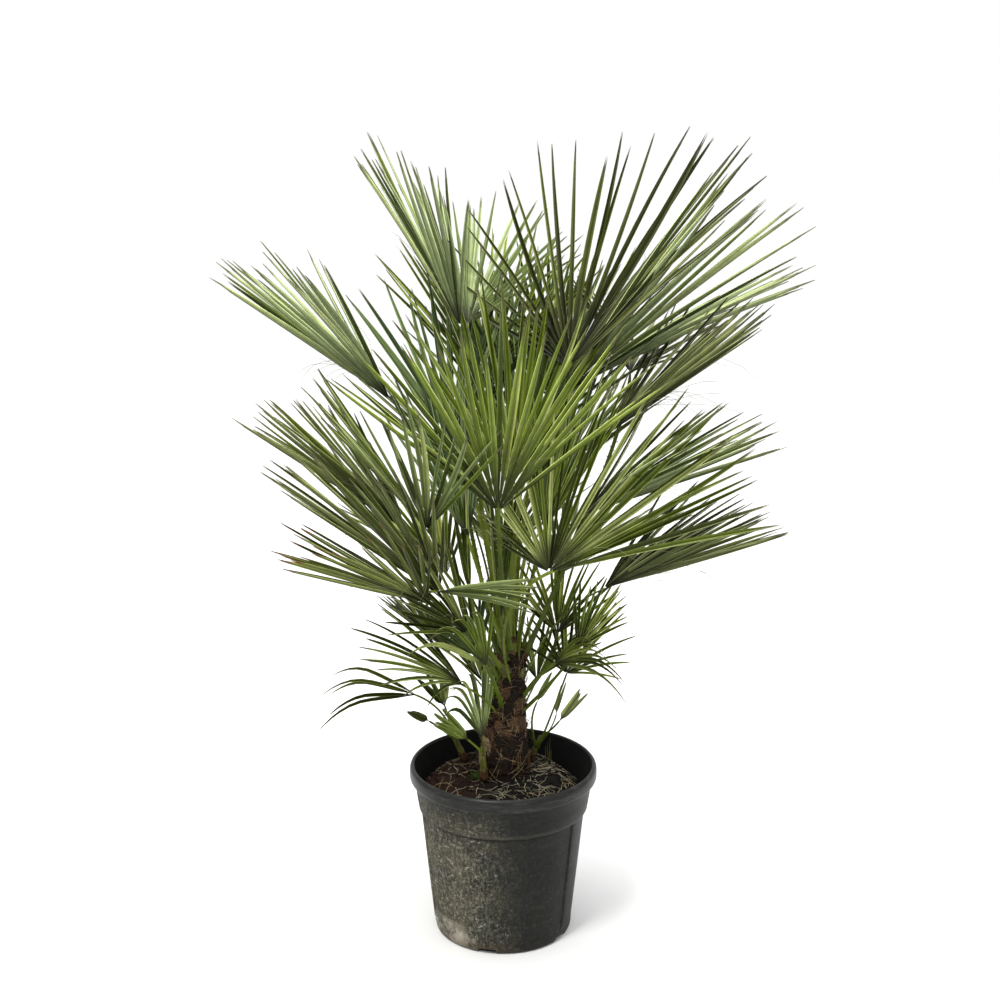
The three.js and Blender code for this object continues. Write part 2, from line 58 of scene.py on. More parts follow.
# Pot
POT_HEIGHT = 329
RIM_RADIUS = 174
RIM_BAND = 27
COLLAR_RADIUS = 165
COLLAR_FOOT = 246
BODY_TOP_RADIUS = 154
BASE_RADIUS = 129
WALL = 4
FLOOR = 10
PANELS = 8
PANEL_DEPTH = 2.5
RECESS_SHOWN = 2.6
PANEL_START = 13.5
PANEL_RIB = 6
PANEL_EDGE = 1.2
PANEL_ROWS = 13
NOTCHES = 5
FIRST_NOTCH = -14
NOTCH_WIDTH = 34
NOTCH_HEIGHT = 9
NOTCH_DEPTH = 12
POT_SIDES = 720
POT_SAG = 0.5
SAG_TURN = 0.6
UNSAGGED_TOP = 8
MERGED_WITHIN = 1e-5
INNER_WALL = [
    (FLOOR, BASE_RADIUS - WALL - 3),
    (COLLAR_FOOT, BODY_TOP_RADIUS - PANEL_DEPTH - WALL),
    (POT_HEIGHT - RIM_BAND, COLLAR_RADIUS - WALL),
]
UNDERSIDE_RADII = (0, 60, BASE_RADIUS - NOTCH_DEPTH - 0.5, BASE_RADIUS - NOTCH_DEPTH + 0.5)
# Corners of the pot's outline. A group starts with the radius and the height that its corners are measured
# from, and a corner says how far past them it lies and its share of the panels' recess.
FOOT_CORNERS = (
    BASE_RADIUS,
    0,
    [(-9, 0, 0), (-5.5, 1.2, 0), (-3, 3.4, 0), (-1.4, 7, 0), (-0.4, 13, 0), (0, 23, 0), (1.2, 25, 0.4)]
    + [(3, 28, 1)],
)
BODY_TOP = (BODY_TOP_RADIUS, COLLAR_FOOT - 6, 1)
UPPER_CORNERS = [
    (BODY_TOP_RADIUS, COLLAR_FOOT, [(0, -4, 1), (0.3, -1.8, 0.9), (2.4, -0.8, 0), (3.2, 1, 0)]),
    (COLLAR_RADIUS, POT_HEIGHT - RIM_BAND, [(-3.4, -28, 0), (-0.4, -1, 0), (1.5, 0, 0)]),
    (RIM_RADIUS, POT_HEIGHT - RIM_BAND, [(-3, 0.4, 0), (-1, 1.8, 0), (-0.2, 4.5, 0), (0, 12, 0)]),
    (RIM_RADIUS, POT_HEIGHT, [(-0.3, -8, 0), (-1.6, -4, 0), (-4, -1.2, 0), (-6.5, 0, 0), (-9, -1.4, 0)]),
]
INNER_CORNERS = (COLLAR_RADIUS, POT_HEIGHT, [(-0.5, -5, 0), (-2, -12, 0)])

# Potting soil
GROUND = 312
GROUND_RADIUS = 98
SOIL_EDGE = 272
SOIL_SHOULDER = (22, 9)
SOIL_TILT = 8
SOIL_SINK = 2.5
SOIL_SKIN = 1.5
SOIL_LUMPS = (26, 3.2)
SOIL_GRAINS = (5, 0.9)
SOIL_RINGS = (64, 150)
SOIL_REACH = float(np.interp(SOIL_EDGE, *zip(*INNER_WALL))) - 0.6
SOIL_SKIRT = (0.93, COLLAR_FOOT - 30)
CLODS = 1500
CLOD_SIZES = (1.2, 4.2)
CLOD_STRETCH = (0.65, 1.25)
CLOD_FLATNESS = 0.75
STRAWS = 250
STRAW_LENGTHS = (14, 80)
STRAW_RADII = (0.3, 0.85)
STRAW_STEPS = 8
STRAW_KINDS = (0.7, 0.16, 0.14)
BARE_LEFT = -20
SPROUTS = ((84, 38, 44), (87, 36, 52), (79, 41, 36), (90, 44, 30))
MOSS_TUFTS = 260
MOSS_PLACE = ((-46, 7), (-30, 6))
SEAT_GAP = 0.3

# Trunk and shoots
TRUNK_AXIS = [(1, 0, 0), (1, 0, 90), (8, 0, 168), (16, 0, 278)]
TRUNK_RADII = [(0, 50), (0.08, 45), (0.25, 38), (0.5, 32), (0.72, 26), (0.88, 17), (1, 7)]
CROWN_SHARE = 0.6
SHOOTS = {
    "left_shoot": ((-72, 46), (-94, 40), 56),
    "front_shoot": ((-35, -52), (-38, -62), 76),
    "right_shoot": ((50, 39), (72, 26), 62),
    "back_shoot": ((-12, 68), (-4, 92), 60),
}
SHOOT_RADII = [(0, 10), (0.3, 8), (1, 4)]
TRUNK_RINGS = (90, 96)
TRUNK_RUN = 280
BARK = (3.2, 9, 1.8)
SKIN_INSET = 2.0
GOLDEN_ANGLE = 2.39996
LEAF_BASES = 84
LEAF_BASE_HEIGHTS = (26, 46)
LEAF_BASE_WIDTHS = (15, 24)
LEAF_BASE_KINDS = ([0.36, 0.46, 0.18], [0.55, 0.39, 0.06])
PALE_BELOW = 0.4
GREEN_ABOVE = 0.62
FIBRES = 3400
FIBRE_LENGTHS = (24, 80)
FIBRE_RADII = (0.25, 0.6)
FIBRE_KINDS = (0.42, 0.38, 0.2)
LOOSE_EVERY = 8
SHEATHS = 7
SHEATH_ANGLE = 2.4
SHEATH_SIDES = 10
SHEATH_RINGS = 9
RED_FACES = 32

# Petioles
PETIOLE_RADII = (4.8, 3.2)
SHOOT_PETIOLE_RADII = (2.6, 2)
PETIOLE_STEPS = 5
PETIOLE_FEET = (0.42, 0.88)
SHOOT_FEET = (0.4, 0.85)
FOOT_OFFSET = 0.6
PETIOLE_ARCH = 0.4
PETIOLE_TAPER_SHARE = 0.6
HASTULA_SHARE = 0.06
SIDESTEPS = (0, 22, -22, 44, -44, 70, -70, 95, -95)
SWINGS = (0, 25, -25, 50, -50)
SLIPS = (0, 0.05, -0.05, 0.1, -0.1)
ON_SOLID = 0.25
PETIOLE_RINGS = 27
PETIOLE_SIDES = 10
PALE_PETIOLES = 0.35
SPINY_REACH = 180
SPINY_RUN = (0.16, 0.9)
SPINE_LENGTHS = (3.5, 7)
SPINE_GAPS = (13, 26)

# Fronds: name, stem, hub, (turn, lean), roll, radius, (left, right) spread, fold, droop, leaflets, tone.
# A row says where petiole and fan meet, how the middle leaflet points in the front view and away from it, the
# blade's roll about it, the fan's reach and spread, the fold of its halves and the droop of its tips.
FRONDS = [
    ("top_right", "trunk", (116, 20, 1074), (53, 14), 14, 500, (95, 55), 24, 0, 27, "umber"),
    ("top_left", "trunk", (-75, -20, 1152), (120, 0), 8, 368, (60, 56), 24, 0, 26, "sage"),
    ("top_middle", "trunk", (-64, 110, 1131), (86, 48), 14, 320, (50, 60), 20, 0, 22, "pale"),
    ("left_upper", "trunk", (-197, -40, 1027), (142, -8), 8, 380, (50, 60), 30, 0, 24, "sage"),
    ("centre_front", "trunk", (-9, -190, 868), (90, -32), 0, 430, (60, 60), 15, 0, 25, "bright"),
    ("left_middle", "trunk", (-132, -120, 815), (122, -32), -6, 355, (62, 62), 30, 0, 26, "mid"),
    ("left_lower_back", "trunk", (-178, 15, 776), (147, 5), 16, 365, (66, 50), 30, 0, 26, "moss"),
    ("left_lower_front", "trunk", (-116, -60, 677), (140, -12), 8, 395, (64, 52), 30, 0, 27, "moss"),
    ("left_bottom", "trunk", (-133, -130, 685), (155, -28), 10, 295, (66, 66), 30, 0, 23, "olive"),
    ("left_under", "trunk", (-96, -40, 560), (138, -10), 8, 175, (64, 64), 30, 0.02, 20, "dark"),
    ("right_far", "trunk", (117, 60, 1022), (27, 8), -32, 535, (54, 54), 24, 0.03, 28, "sage"),
    ("right_back", "trunk", (238, 220, 1022), (80, 78), 20, 280, (80, 80), 34, 0.02, 20, "dark"),
    ("right_upper", "trunk", (184, -30, 965), (34, 0), -6, 360, (58, 48), 26, 0, 26, "dark"),
    ("right_middle", "trunk", (149, 20, 803), (19, 0), -4, 380, (60, 66), 30, 0, 29, "sage"),
    ("right_front", "trunk", (78, -160, 751), (20, -8), 50, 425, (128, 10), 14, 0, 31, "moss"),
    ("right_lower", "trunk", (182, 0, 669), (16, 0), -6, 345, (62, 62), 30, 0, 33, "dark"),
    ("right_under", "right_shoot", (116, -10, 508), (68, 25), 0, 185, (78, 84), 12, 0.14, 17, "bright"),
    ("right_under_back", "trunk", (100, 40, 568), (88, 14), -6, 175, (62, 62), 16, 0.04, 17, "bright"),
    ("left_inner", "trunk", (-88, 62, 925), (101, 32), -20, 350, (36, 62), 20, 0, 20, "blue"),
    ("right_inner", "trunk", (46, 112, 915), (76, 35), 0, 395, (66, 66), 20, 0, 24, "blue"),
    ("young_spear", "trunk", (-4, -84, 640), (89, 4), 10, 290, (12, 12), 10, 0, 6, "mid"),
    ("left_spear", "trunk", (-58, -66, 672), (97, 0), -80, 220, (9, 9), 10, 0, 5, "mid"),
    ("front_low", "trunk", (-118, -150, 712), (6, -14), -70, 195, (12, 14), 4, 0.08, 7, "mid"),
    ("left_drooping", "trunk", (-72, -92, 518), (147, -14), -18, 255, (60, 54), 20, 0.2, 14, "mid"),
    ("left_small", "left_shoot", (-160, 0, 462), (162, -4), -70, 188, (28, 26), 6, 0.12, 5, "olive"),
    ("left_upright", "left_shoot", (-108, 22, 430), (106, 4), -60, 85, (28, 34), 8, 0, 4, "mid"),
    ("left_bud", "left_shoot", (-136, 4, 408), (152, 0), -60, 46, (8, 8), 0, 0, 2, "dark"),
    ("front_straps", "front_shoot", (-38, -66, 404), (98, -6), -80, 215, (34, 34), 6, 0.12, 11, "sage"),
    ("centre_tall", "trunk", (14, -30, 870), (92, 16), 0, 370, (44, 44), 12, 0, 20, "mid"),
    ("inner_left", "trunk", (-62, -70, 785), (108, 16), 0, 320, (38, 38), 14, 0, 17, "blue"),
    ("inner_right", "trunk", (72, -40, 790), (72, 16), 0, 340, (40, 40), 14, 0, 18, "mid"),
    ("right_arching", "trunk", (92, -44, 540), (36, -16), 80, 150, (34, 34), 6, 0.3, 7, "olive"),
    ("front_under", "trunk", (-30, -110, 560), (112, -16), -110, 190, (40, 40), 8, 0.12, 9, "mid"),
    ("left_under_front", "trunk", (-64, -100, 620), (128, -20), -80, 200, (44, 44), 14, 0.04, 13, "moss"),
    ("right_under_outer", "trunk", (134, -34, 566), (58, 8), 16, 150, (52, 52), 12, 0.06, 14, "bright"),
    ("left_curling", "trunk", (-50, -60, 560), (104, -8), -90, 165, (48, 40), 10, 0.08, 13, "blue"),
    ("front_strap_low", "front_shoot", (-62, -72, 402), (136, -10), -60, 92, (20, 20), 6, 0.06, 4, "young"),
    ("right_bud_inner", "right_shoot", (62, 8, 444), (62, 0), -70, 72, (8, 8), 0, 0, 2, "mid"),
    ("right_bud_middle", "right_shoot", (98, 16, 416), (78, 6), -70, 66, (9, 9), 0, 0, 2, "moss"),
    ("right_bud_outer", "right_shoot", (102, -8, 412), (54, -4), -70, 82, (14, 12), 0, 0, 3, "moss"),
]
BACK_TIERS = [
    ("back_low", 50, 40, 3, 165, 655, 14, 300),
    ("back_middle", 68, 40, 2, 200, 800, 30, 350),
    ("back_upper", 62, 36, 2, 190, 975, 44, 370),
]
BACK_SPREAD = 62
BACK_FOLD = 30
BACK_DROOP = 0.02
BACK_LEAFLETS = 28
BACK_TONES = ("mid", "pale", "bright")
SMALL_BACK = [
    ("back_small_1", "back_shoot", (64, 136, 440), (62, 50), 0, 170, (60, 60), 20, 0.08, 13, "mid"),
    ("back_small_2", "back_shoot", (-40, 146, 432), (104, 52), 0, 160, (55, 55), 20, 0.08, 12, "bright"),
]
SIDE_SHORTENING = 0.3
GATHERED = 0.12
LENGTH_SHARES = (0.87, 1.02)
FAN_WIDTH = (3.6, 0.006)
STRAP_WIDTH = (3.2, 0.007)
BUD_WIDTH = 6.5
NARROW_SIDES = 0.5
STRAP_CURL = 0.9
LEAFLET_OUTLINE = [(0, 1), (0.42, 1), (0.66, 0.86), (0.84, 0.62), (0.95, 0.38), (1, 0.2)]
LEAFLET_ROWS = (0.02, 0.07, 0.13, 0.19, 0.27, 0.36, 0.46, 0.57, 0.68, 0.78, 0.86, 0.93, 1.0)
FAN_LEAST = (140, 40)
BUD_REACH = 100
FOLDS = (26, 50)
STRAP_FOLD = 0.8
TWIST = 24
SWERVE = 0.043
LIFT = (-0.012, 0.052)
BENT_SHARE = 0.05
BENT_LIFTS = (0.06, 0.14)
UNEVEN_DROOP = 0.012
UNEVEN_STEP = 0.24
LEAF_THICKNESS = (0.32, 0.0006)
RIB_END = 0.94
THREAD_SHARE = 0.42
THREAD_LENGTHS = (0.15, 0.55)
THREAD_RADIUS = 0.34

UP = np.array((0.0, 0.0, 1.0))


# Small helpers


def unit(v):
    return v / np.linalg.norm(v)


def along(pairs, t):
    return float(np.interp(t, [p[0] for p in pairs], [p[1] for p in pairs]))


def linear(r, g, b):
    """A colour named in 0 to 255 display values, as linear light."""
    return tuple(((c / 255 + 0.055) / 1.055) ** 2.4 if c > 10 else c / 255 / 12.92 for c in (r, g, b))


def turned_about(v, axis, angle):
    return (
        v * math.cos(angle)
        + np.cross(axis, v) * math.sin(angle)
        + axis * np.dot(axis, v) * (1 - math.cos(angle))
    )


def bezier(points, t):
    """Points of a Bezier curve at the values t."""
    t = np.asarray(t, float)[:, None]
    level = [np.asarray(p, float)[None, :] for p in points]
    while len(level) > 1:
        level = [a * (1 - t) + b * t for a, b in zip(level, level[1:])]
    return level[0]


def evenly(points, shares):
    """Points of a Bezier curve at shares of its length."""
    dense = bezier(points, np.linspace(0, 1, 201))
    run = np.concatenate([[0], np.cumsum(np.linalg.norm(np.diff(dense, axis=0), axis=1))])
    at = np.asarray(shares, float) * run[-1]
    return np.stack([np.interp(at, run, dense[:, k]) for k in range(3)], axis=1)


def ring_faces(rings, around, first=0, flipped=False):
    """Four-sided faces over rings of points that follow one another."""
    faces = []
    for k in range(rings - 1):
        for j in range(around):
            a, b = first + k * around + j, first + k * around + (j + 1) % around
            faces.append((a, b, b + around, a + around) if flipped else (a, a + around, b + around, b))
    return faces


def tube_faces(rings, sides):
    """The faces of a tube with both of its ends closed."""
    ends = tuple(range(sides)), tuple(reversed(range((rings - 1) * sides, rings * sides)))
    return [ends[0], *ring_faces(rings, sides), ends[1]]


def placed(name, data):
    made = bpy.data.objects.new(name, data)
    bpy.context.scene.collection.objects.link(made)
    return made


class Shape:
    """Points, faces, colours' places and texture places, gathered before a mesh is made."""

    def __init__(self):
        self.points = []
        self.faces = []
        self.kinds = []
        self.places = []

    def add(self, points, faces, kind, places=None):
        first = len(self.points)
        self.points.extend(points)
        self.places.extend(places if places is not None else [(0.0, 0.0)] * len(points))
        self.faces.extend([tuple(first + k for k in f) for f in faces])
        self.kinds.extend([kind] * len(faces) if isinstance(kind, int) else kind)

    def strip(self, left, right, kind, sides=(0.0, 1.0)):
        """A band of four-sided faces between two lines of points, with the texture place of each line."""
        n = len(left)
        run = np.linspace(0, 1, n)
        places = [(side, float(v)) for side in sides for v in run]
        faces = [(k, n + k, n + k + 1, k + 1) for k in range(n - 1)]
        self.add(list(left) + list(right), faces, kind, places)

    def tube(self, line, radii, sides, kind, flat=1.0):
        """A closed tube along a line, with a radius at each of its points."""
        line = np.asarray(line, float)
        count = len(line)
        way = np.gradient(line, axis=0)
        way /= np.linalg.norm(way, axis=1)[:, None] + 1e-9
        side = np.cross(way[0], UP if abs(way[0][2]) < 0.9 else np.array((1.0, 0.0, 0.0)))
        points = []
        for k in range(count):
            side = unit(side - way[k] * np.dot(side, way[k]) + 1e-9)
            over = np.cross(side, way[k])
            for j in range(sides):
                a = 2 * math.pi * j / sides
                points.append(line[k] + radii[k] * (side * math.cos(a) + over * math.sin(a) * flat))
        places = [(j / sides, k / (count - 1)) for k in range(count) for j in range(sides)]
        self.add(points, tube_faces(count, sides), kind, places)

    def build(self, name, materials, nodes, slot, smooth=True):
        mesh = bpy.data.meshes.new(name)
        mesh.from_pydata((np.asarray(self.points) * 0.001).tolist(), [], self.faces)
        for material in materials:
            mesh.materials.append(material)
        mesh.polygons.foreach_set("material_index", np.asarray(self.kinds, np.int32))
        mesh.polygons.foreach_set("use_smooth", np.full(len(self.faces), smooth))
        corners = np.empty(len(mesh.loops), np.int32)
        mesh.loops.foreach_get("vertex_index", corners)
        layer = mesh.uv_layers.new(name="places")
        layer.data.foreach_set("uv", np.asarray(self.places, np.float32)[corners].ravel())
        mesh.validate()
        mesh.update()
        piece = placed(name, mesh)
        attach(piece, "root")
        if nodes:
            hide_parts(*nodes)
        return piece


# Materials


class Look:
    """A material made of nodes, with short calls for the nodes that every look here uses."""

    def __init__(self, name):
        self.material = bpy.data.materials.new(name)
        self.material.use_nodes = True
        self.tree = self.material.node_tree
        self.shader = self.tree.nodes["Principled BSDF"]
        self.place = self.node("ShaderNodeTexCoord").outputs["Object"]
        self.uv = self.node("ShaderNodeTexCoord").outputs["UV"]

    def node(self, kind, **settings):
        made = self.tree.nodes.new(kind)
        for key, value in settings.items():
            if hasattr(made, key):
                setattr(made, key, value)
            else:
                made.inputs[key.replace("_", " ")].default_value = value
        return made

    def fill(self, socket, source):
        """Links a node's output to a socket, or sets the socket to a plain value or colour."""
        if isinstance(source, bpy.types.NodeSocket):
            self.tree.links.new(source, socket)
        else:
            socket.default_value = (*source, 1) if hasattr(source, "__len__") else source

    def stretched(self, scale, source=None):
        made = self.node("ShaderNodeMapping")
        made.inputs["Scale"].default_value = scale
        self.fill(made.inputs["Vector"], source or self.place)
        return made.outputs["Vector"]

    def noise(self, scale, detail=4.0, rough=0.55, vector=None):
        made = self.node("ShaderNodeTexNoise", Scale=scale, Detail=detail, Roughness=rough)
        self.fill(made.inputs["Vector"], vector or self.place)
        return made.outputs["Fac"]

    def ramp(self, source, stops):
        made = self.node("ShaderNodeValToRGB")
        parts = made.color_ramp.elements
        while len(parts) < len(stops):
            parts.new(0.5)
        for part, (at, colour) in zip(parts, stops):
            part.position = at
            part.color = (*colour, 1) if hasattr(colour, "__len__") else (colour, colour, colour, 1)
        self.fill(made.inputs["Fac"], source)
        return made.outputs["Color"]

    def mixed(self, share, a, b):
        made = self.node("ShaderNodeMix", data_type="RGBA")
        for at, source in zip((0, 6, 7), (share, a, b)):
            self.fill(made.inputs[at], source)
        return made.outputs[2]

    def product(self, a, b, how="MULTIPLY"):
        made = self.node("ShaderNodeMath", operation=how)
        self.fill(made.inputs[0], a)
        self.fill(made.inputs[1], b)
        return made.outputs[0]

    def axis(self, name, source=None):
        made = self.node("ShaderNodeSeparateXYZ")
        self.fill(made.inputs[0], source or self.place)
        return made.outputs[name]

    def bump(self, height, strength, distance):
        made = self.node("ShaderNodeBump")
        made.inputs["Strength"].default_value = strength
        made.inputs["Distance"].default_value = distance
        self.fill(made.inputs["Height"], height)
        self.fill(self.shader.inputs["Normal"], made.outputs["Normal"])

    def finish(self, colour, rough, gloss=None):
        self.fill(self.shader.inputs["Base Color"], colour)
        self.fill(self.shader.inputs["Roughness"], rough)
        if gloss is not None:
            self.shader.inputs["Specular IOR Level"].default_value = gloss
        return self.material


LEAF_GLOSS = 0.14
PLAIN_GLOSS = 0.15
POT_GLOSS = 0.12
RIM_GLOSS = 0.18
# How dark the painted shade along each leaflet's rib, in the fold's valley, makes the colour.
RIB_PAINTED_SHADE = 0.45
# How dark the painted shade near a fan's hub makes the colour.
HUB_PAINTED_SHADE = 0.12


def shades(colour, low, high):
    return tuple(c * low for c in colour), tuple(min(1, c * high) for c in colour)


def leaf_look(name, colour, tip, rough, hub_shade_reach):
    """A leathery leaf: veined and mottled, with painted shade near the hub and along each rib, a painted
    highlight towards the edge, and a dull tip.
    """
    look = Look(name)
    darker, lighter = shades(colour, 0.74, 1.26)
    mottle = look.ramp(look.noise(38, 5), [(0.3, darker), (0.7, lighter)])
    veins = look.noise(1, 2, vector=look.stretched((22, 1.5, 1), look.uv))
    pale = look.mixed(look.ramp(veins, [(0.5, 0.0), (0.72, 0.6)]), mottle, shades(colour, 1, 1.5)[1])
    side = look.axis("X", look.uv)
    run = look.product(look.axis("Y", look.uv), look.product(look.noise(30, 3), 0.16), "ADD")
    # Painted shade: the colour darkens towards the rib, where the fold's valley lies in shade.
    rib_shade_mask = look.ramp(side, [(0.0, 1.0), (0.22, 0.7), (0.6, 0.0)])
    rib_shaded = look.mixed(rib_shade_mask, pale, shades(colour, RIB_PAINTED_SHADE, 1)[0])
    # Painted highlight: the colour lightens towards the raised margin of each leaflet.
    edge_highlight_mask = look.ramp(side, [(0.82, 0.0), (0.97, 0.7)])
    edge_highlighted = look.mixed(edge_highlight_mask, rib_shaded, tuple(min(1, c * 1.5 + 0.02) for c in colour))
    # Painted shade: the colour darkens near the hub, where the crowded leaflets and the crown's inside lie in
    # shade.
    hub_shade_mask = look.ramp(run, [(0.1, 1.0), (0.22 * hub_shade_reach, 0.8), (0.4 * hub_shade_reach, 0.0)])
    hub_shaded = look.mixed(hub_shade_mask, edge_highlighted, shades(colour, HUB_PAINTED_SHADE, 1)[0])
    near_tip = look.ramp(run, [(0.93, 0.0), (1.0, 0.85)])
    look.bump(veins, 0.5, 0.0006)
    return look.finish(look.mixed(near_tip, hub_shaded, tip), rough, LEAF_GLOSS)


def plain_look(name, colour, rough, spread, scale, bump, distance=0.001):
    look = Look(name)
    darker, lighter = shades(colour, 1 - spread, 1 + spread)
    mottle = look.noise(scale, 6)
    look.bump(mottle, bump, distance)
    return look.finish(look.ramp(mottle, [(0.3, darker), (0.7, lighter)]), rough, PLAIN_GLOSS)


# Each tone: three upper colours, the underside and the dull tips.
TONES = {
    "dark": [(34, 40, 10), (54, 60, 20), (108, 114, 66), (84, 92, 50), (62, 60, 42)],
    "umber": [(46, 52, 18), (66, 72, 28), (98, 104, 56), (90, 96, 54), (62, 58, 44)],
    "mid": [(50, 62, 12), (84, 98, 26), (136, 146, 82), (106, 118, 68), (78, 76, 52)],
    "moss": [(46, 54, 12), (74, 86, 24), (130, 138, 80), (98, 106, 60), (90, 88, 60)],
    "sage": [(56, 68, 28), (104, 118, 62), (152, 162, 108), (130, 142, 98), (88, 86, 64)],
    "bright": [(62, 76, 18), (98, 114, 32), (158, 168, 84), (114, 130, 52), (86, 86, 50)],
    "olive": [(50, 58, 14), (72, 82, 24), (112, 120, 58), (98, 106, 52), (98, 66, 44)],
    "pale": [(84, 98, 50), (114, 128, 78), (148, 160, 114), (138, 150, 110), (88, 90, 68)],
    "blue": [(50, 66, 30), (72, 88, 44), (106, 122, 76), (98, 114, 76), (68, 72, 52)],
    "young": [(84, 98, 36), (106, 120, 54), (142, 154, 92), (124, 136, 82), (104, 100, 62)],
}
UPPERS = 3
MIDDLE_TONES = (0.3, 0.42, 0.28)
SIDE_TONES = (0.55, 0.33, 0.12)
SIDES_FROM = 0.6
ALIKE_SHARE = 0.4
UNDER = 3
EDGE = 4
# How much lighter the edge faces are than the light upper colour: a painted highlight along the margins.
EDGE_HIGHLIGHT_LIFT = 34
# Tones whose painted shade near the hub reaches further out.
DEEP_HUB_SHADES = {"umber": 1.5, "bright": 1.5}
leaf_materials = {}
for tone, colours in TONES.items():
    tip_colour = linear(*colours[4])
    # deep: how far out the painted shade near the hub reaches.
    deep = DEEP_HUB_SHADES.get(tone, 1.0)
    looks = [
        leaf_look(f"leaf_{tone}_{part}", linear(*colour), tip_colour, 0.6 if part == "under" else 0.42, deep)
        for part, colour in zip(("a", "b", "c", "under"), colours)
    ]
    # The edge faces take a lighter copy of the light upper colour, a painted highlight on the leaflets'
    # margins.
    edge = linear(*(c + EDGE_HIGHLIGHT_LIFT for c in colours[2]))
    leaf_materials[tone] = looks + [leaf_look(f"leaf_{tone}_edge", edge, tip_colour, 0.5, 1.0)]

# Plain looks: colour, roughness, the spread of its shades, and its relief's scale, strength and depth.
PLAIN_LOOKS = {
    "petiole_green": ((64, 78, 16), 0.42, 0.35, 30, 0.15),
    "petiole_pale": ((92, 104, 32), 0.45, 0.3, 30, 0.15),
    "sheath_brown": ((70, 58, 34), 0.85, 0.45, 90, 0.6),
    "spine_straw": ((120, 112, 62), 0.5, 0.2, 50, 0.1),
    "thread_straw": ((122, 122, 92), 0.8, 0.2, 50, 0.1),
    "fibre_dark": ((24, 18, 12), 0.95, 0.6, 160, 0.8, 0.002),
    "fibre_brown": ((70, 52, 36), 0.92, 0.5, 160, 0.8, 0.002),
    "fibre_tan": ((128, 110, 82), 0.9, 0.4, 120, 0.4),
    "root_grey": ((140, 134, 116), 0.9, 0.3, 80, 0.2),
    "moss_green": ((58, 74, 30), 0.9, 0.4, 200, 0.3),
    "stalk_green": ((84, 84, 40), 0.6, 0.35, 70, 0.3),
    "stalk_red": ((70, 48, 30), 0.7, 0.35, 70, 0.4),
    "pot_inside": ((14, 15, 14), 0.7, 0.3, 40, 0.2),
}
plain = {name: plain_look(name, linear(*colour), *rest) for name, (colour, *rest) in PLAIN_LOOKS.items()}


def plain_ones(*names):
    return [plain[name] for name in names]


SOIL_SHADES = [(0.3, (7, 6, 5)), (0.54, (16, 13, 10)), (0.7, (40, 31, 23)), (0.84, (98, 82, 62))]


def soil_look():
    look = Look("potting_soil")
    grain = look.noise(210, 8, 0.75)
    clump = look.noise(38, 6, 0.6)
    colour = look.ramp(grain, [(at, linear(*shade)) for at, shade in SOIL_SHADES])
    peat = look.ramp(look.product(look.axis("X"), -6.0), [(0.1, 0.0), (0.6, 0.6)])
    colour = look.mixed(look.product(peat, clump), colour, linear(70, 40, 24))
    look.bump(look.product(grain, clump, "ADD"), 0.9, 0.004)
    return look.finish(colour, 0.97, PLAIN_GLOSS)


def pot_look():
    """Dark moulded plastic with splashed soil and dust, most of it low down and at the left, a painted shadow
    band under the collar and a line of dust and painted highlight along the collar's foot.
    """
    look = Look("pot_plastic")
    plastic = look.ramp(look.noise(9, 6), [(0.3, linear(14, 15, 14)), (0.7, linear(24, 25, 24))])
    height = look.axis("Z")
    low = look.ramp(height, [(0.02, 1.0), (0.16, 0.9), (0.25, 0.7), (0.31, 0.15)])
    across = look.product(look.product(look.axis("X"), -4.0), 0.15, "ADD")
    leftward = look.ramp(across, [(0.0, 0.06), (0.15, 0.3), (0.32, 0.9), (0.6, 1.0)])
    where = look.product(low, leftward)
    patches = look.ramp(look.noise(14, 8, 0.7), [(0.42, 0.0), (0.68, 1.0)])
    grains = look.ramp(look.noise(420, 4, 0.65), [(0.5, 0.0), (0.62, 1.0)])
    dust = look.product(look.product(patches, grains, "ADD"), where)
    runs = look.ramp(look.noise(1, 7, 0.7, look.stretched((150, 150, 26))), [(0.52, 0.0), (0.64, 1.0)])
    specks = look.ramp(look.noise(150, 8, 0.8), [(0.5, 0.0), (0.6, 1.0)])
    splashes = look.ramp(look.noise(75, 8, 0.8), [(0.6, 0.0), (0.63, 1.0)])
    smears = look.ramp(look.noise(1, 6, 0.65, look.stretched((22, 22, 120))), [(0.52, 0.0), (0.72, 0.8)])
    at_foot = look.product(
        look.ramp(height, [(0.03, 1.0), (0.055, 0.0)]), look.ramp(across, [(0.28, 0.0), (0.5, 1.0)])
    )
    pale = look.product(at_foot, look.ramp(look.noise(30, 7, 0.7), [(0.42, 0.0), (0.58, 1.0)]))
    mud = look.product(look.ramp(height, [(0.01, 1.0), (0.026, 0.0)]), leftward)
    # A pale line along the collar's foot: dust, with a painted highlight on the edge.
    lip_dust_and_highlight = look.ramp(height, [(0.2455, 0.0), (0.247, 0.5), (0.2485, 0.5), (0.251, 0.0)])
    # Painted shade: a near-black band on the wall just under the collar, where the lip shadows it.
    collar_painted_shade = look.ramp(height, [(0.234, 0.0), (0.2425, 0.7), (0.2452, 0.7), (0.2462, 0.0)])
    layers = (
        (dust, 0.5, (104, 100, 82)),
        (look.product(runs, where), 0.28, (138, 135, 118)),
        (look.product(specks, where), 0.5, (146, 144, 128)),
        (look.product(splashes, where), 0.7, (184, 183, 172)),
        (smears, 0.12, (92, 90, 80)),
        (pale, 0.85, (174, 168, 152)),
        (mud, 0.55, (78, 63, 48)),
        (lip_dust_and_highlight, 1.0, (84, 82, 72)),
        (collar_painted_shade, 1.0, (9, 9, 9)),
    )
    colour = plastic
    for share, strength, shade in layers:
        colour = look.mixed(look.product(share, strength), colour, linear(*shade))
    look.bump(look.product(grains, look.noise(60, 6), "ADD"), 0.25, 0.0012)
    return look.finish(colour, look.ramp(dust, [(0.0, 0.42), (0.5, 0.9)]), POT_GLOSS)


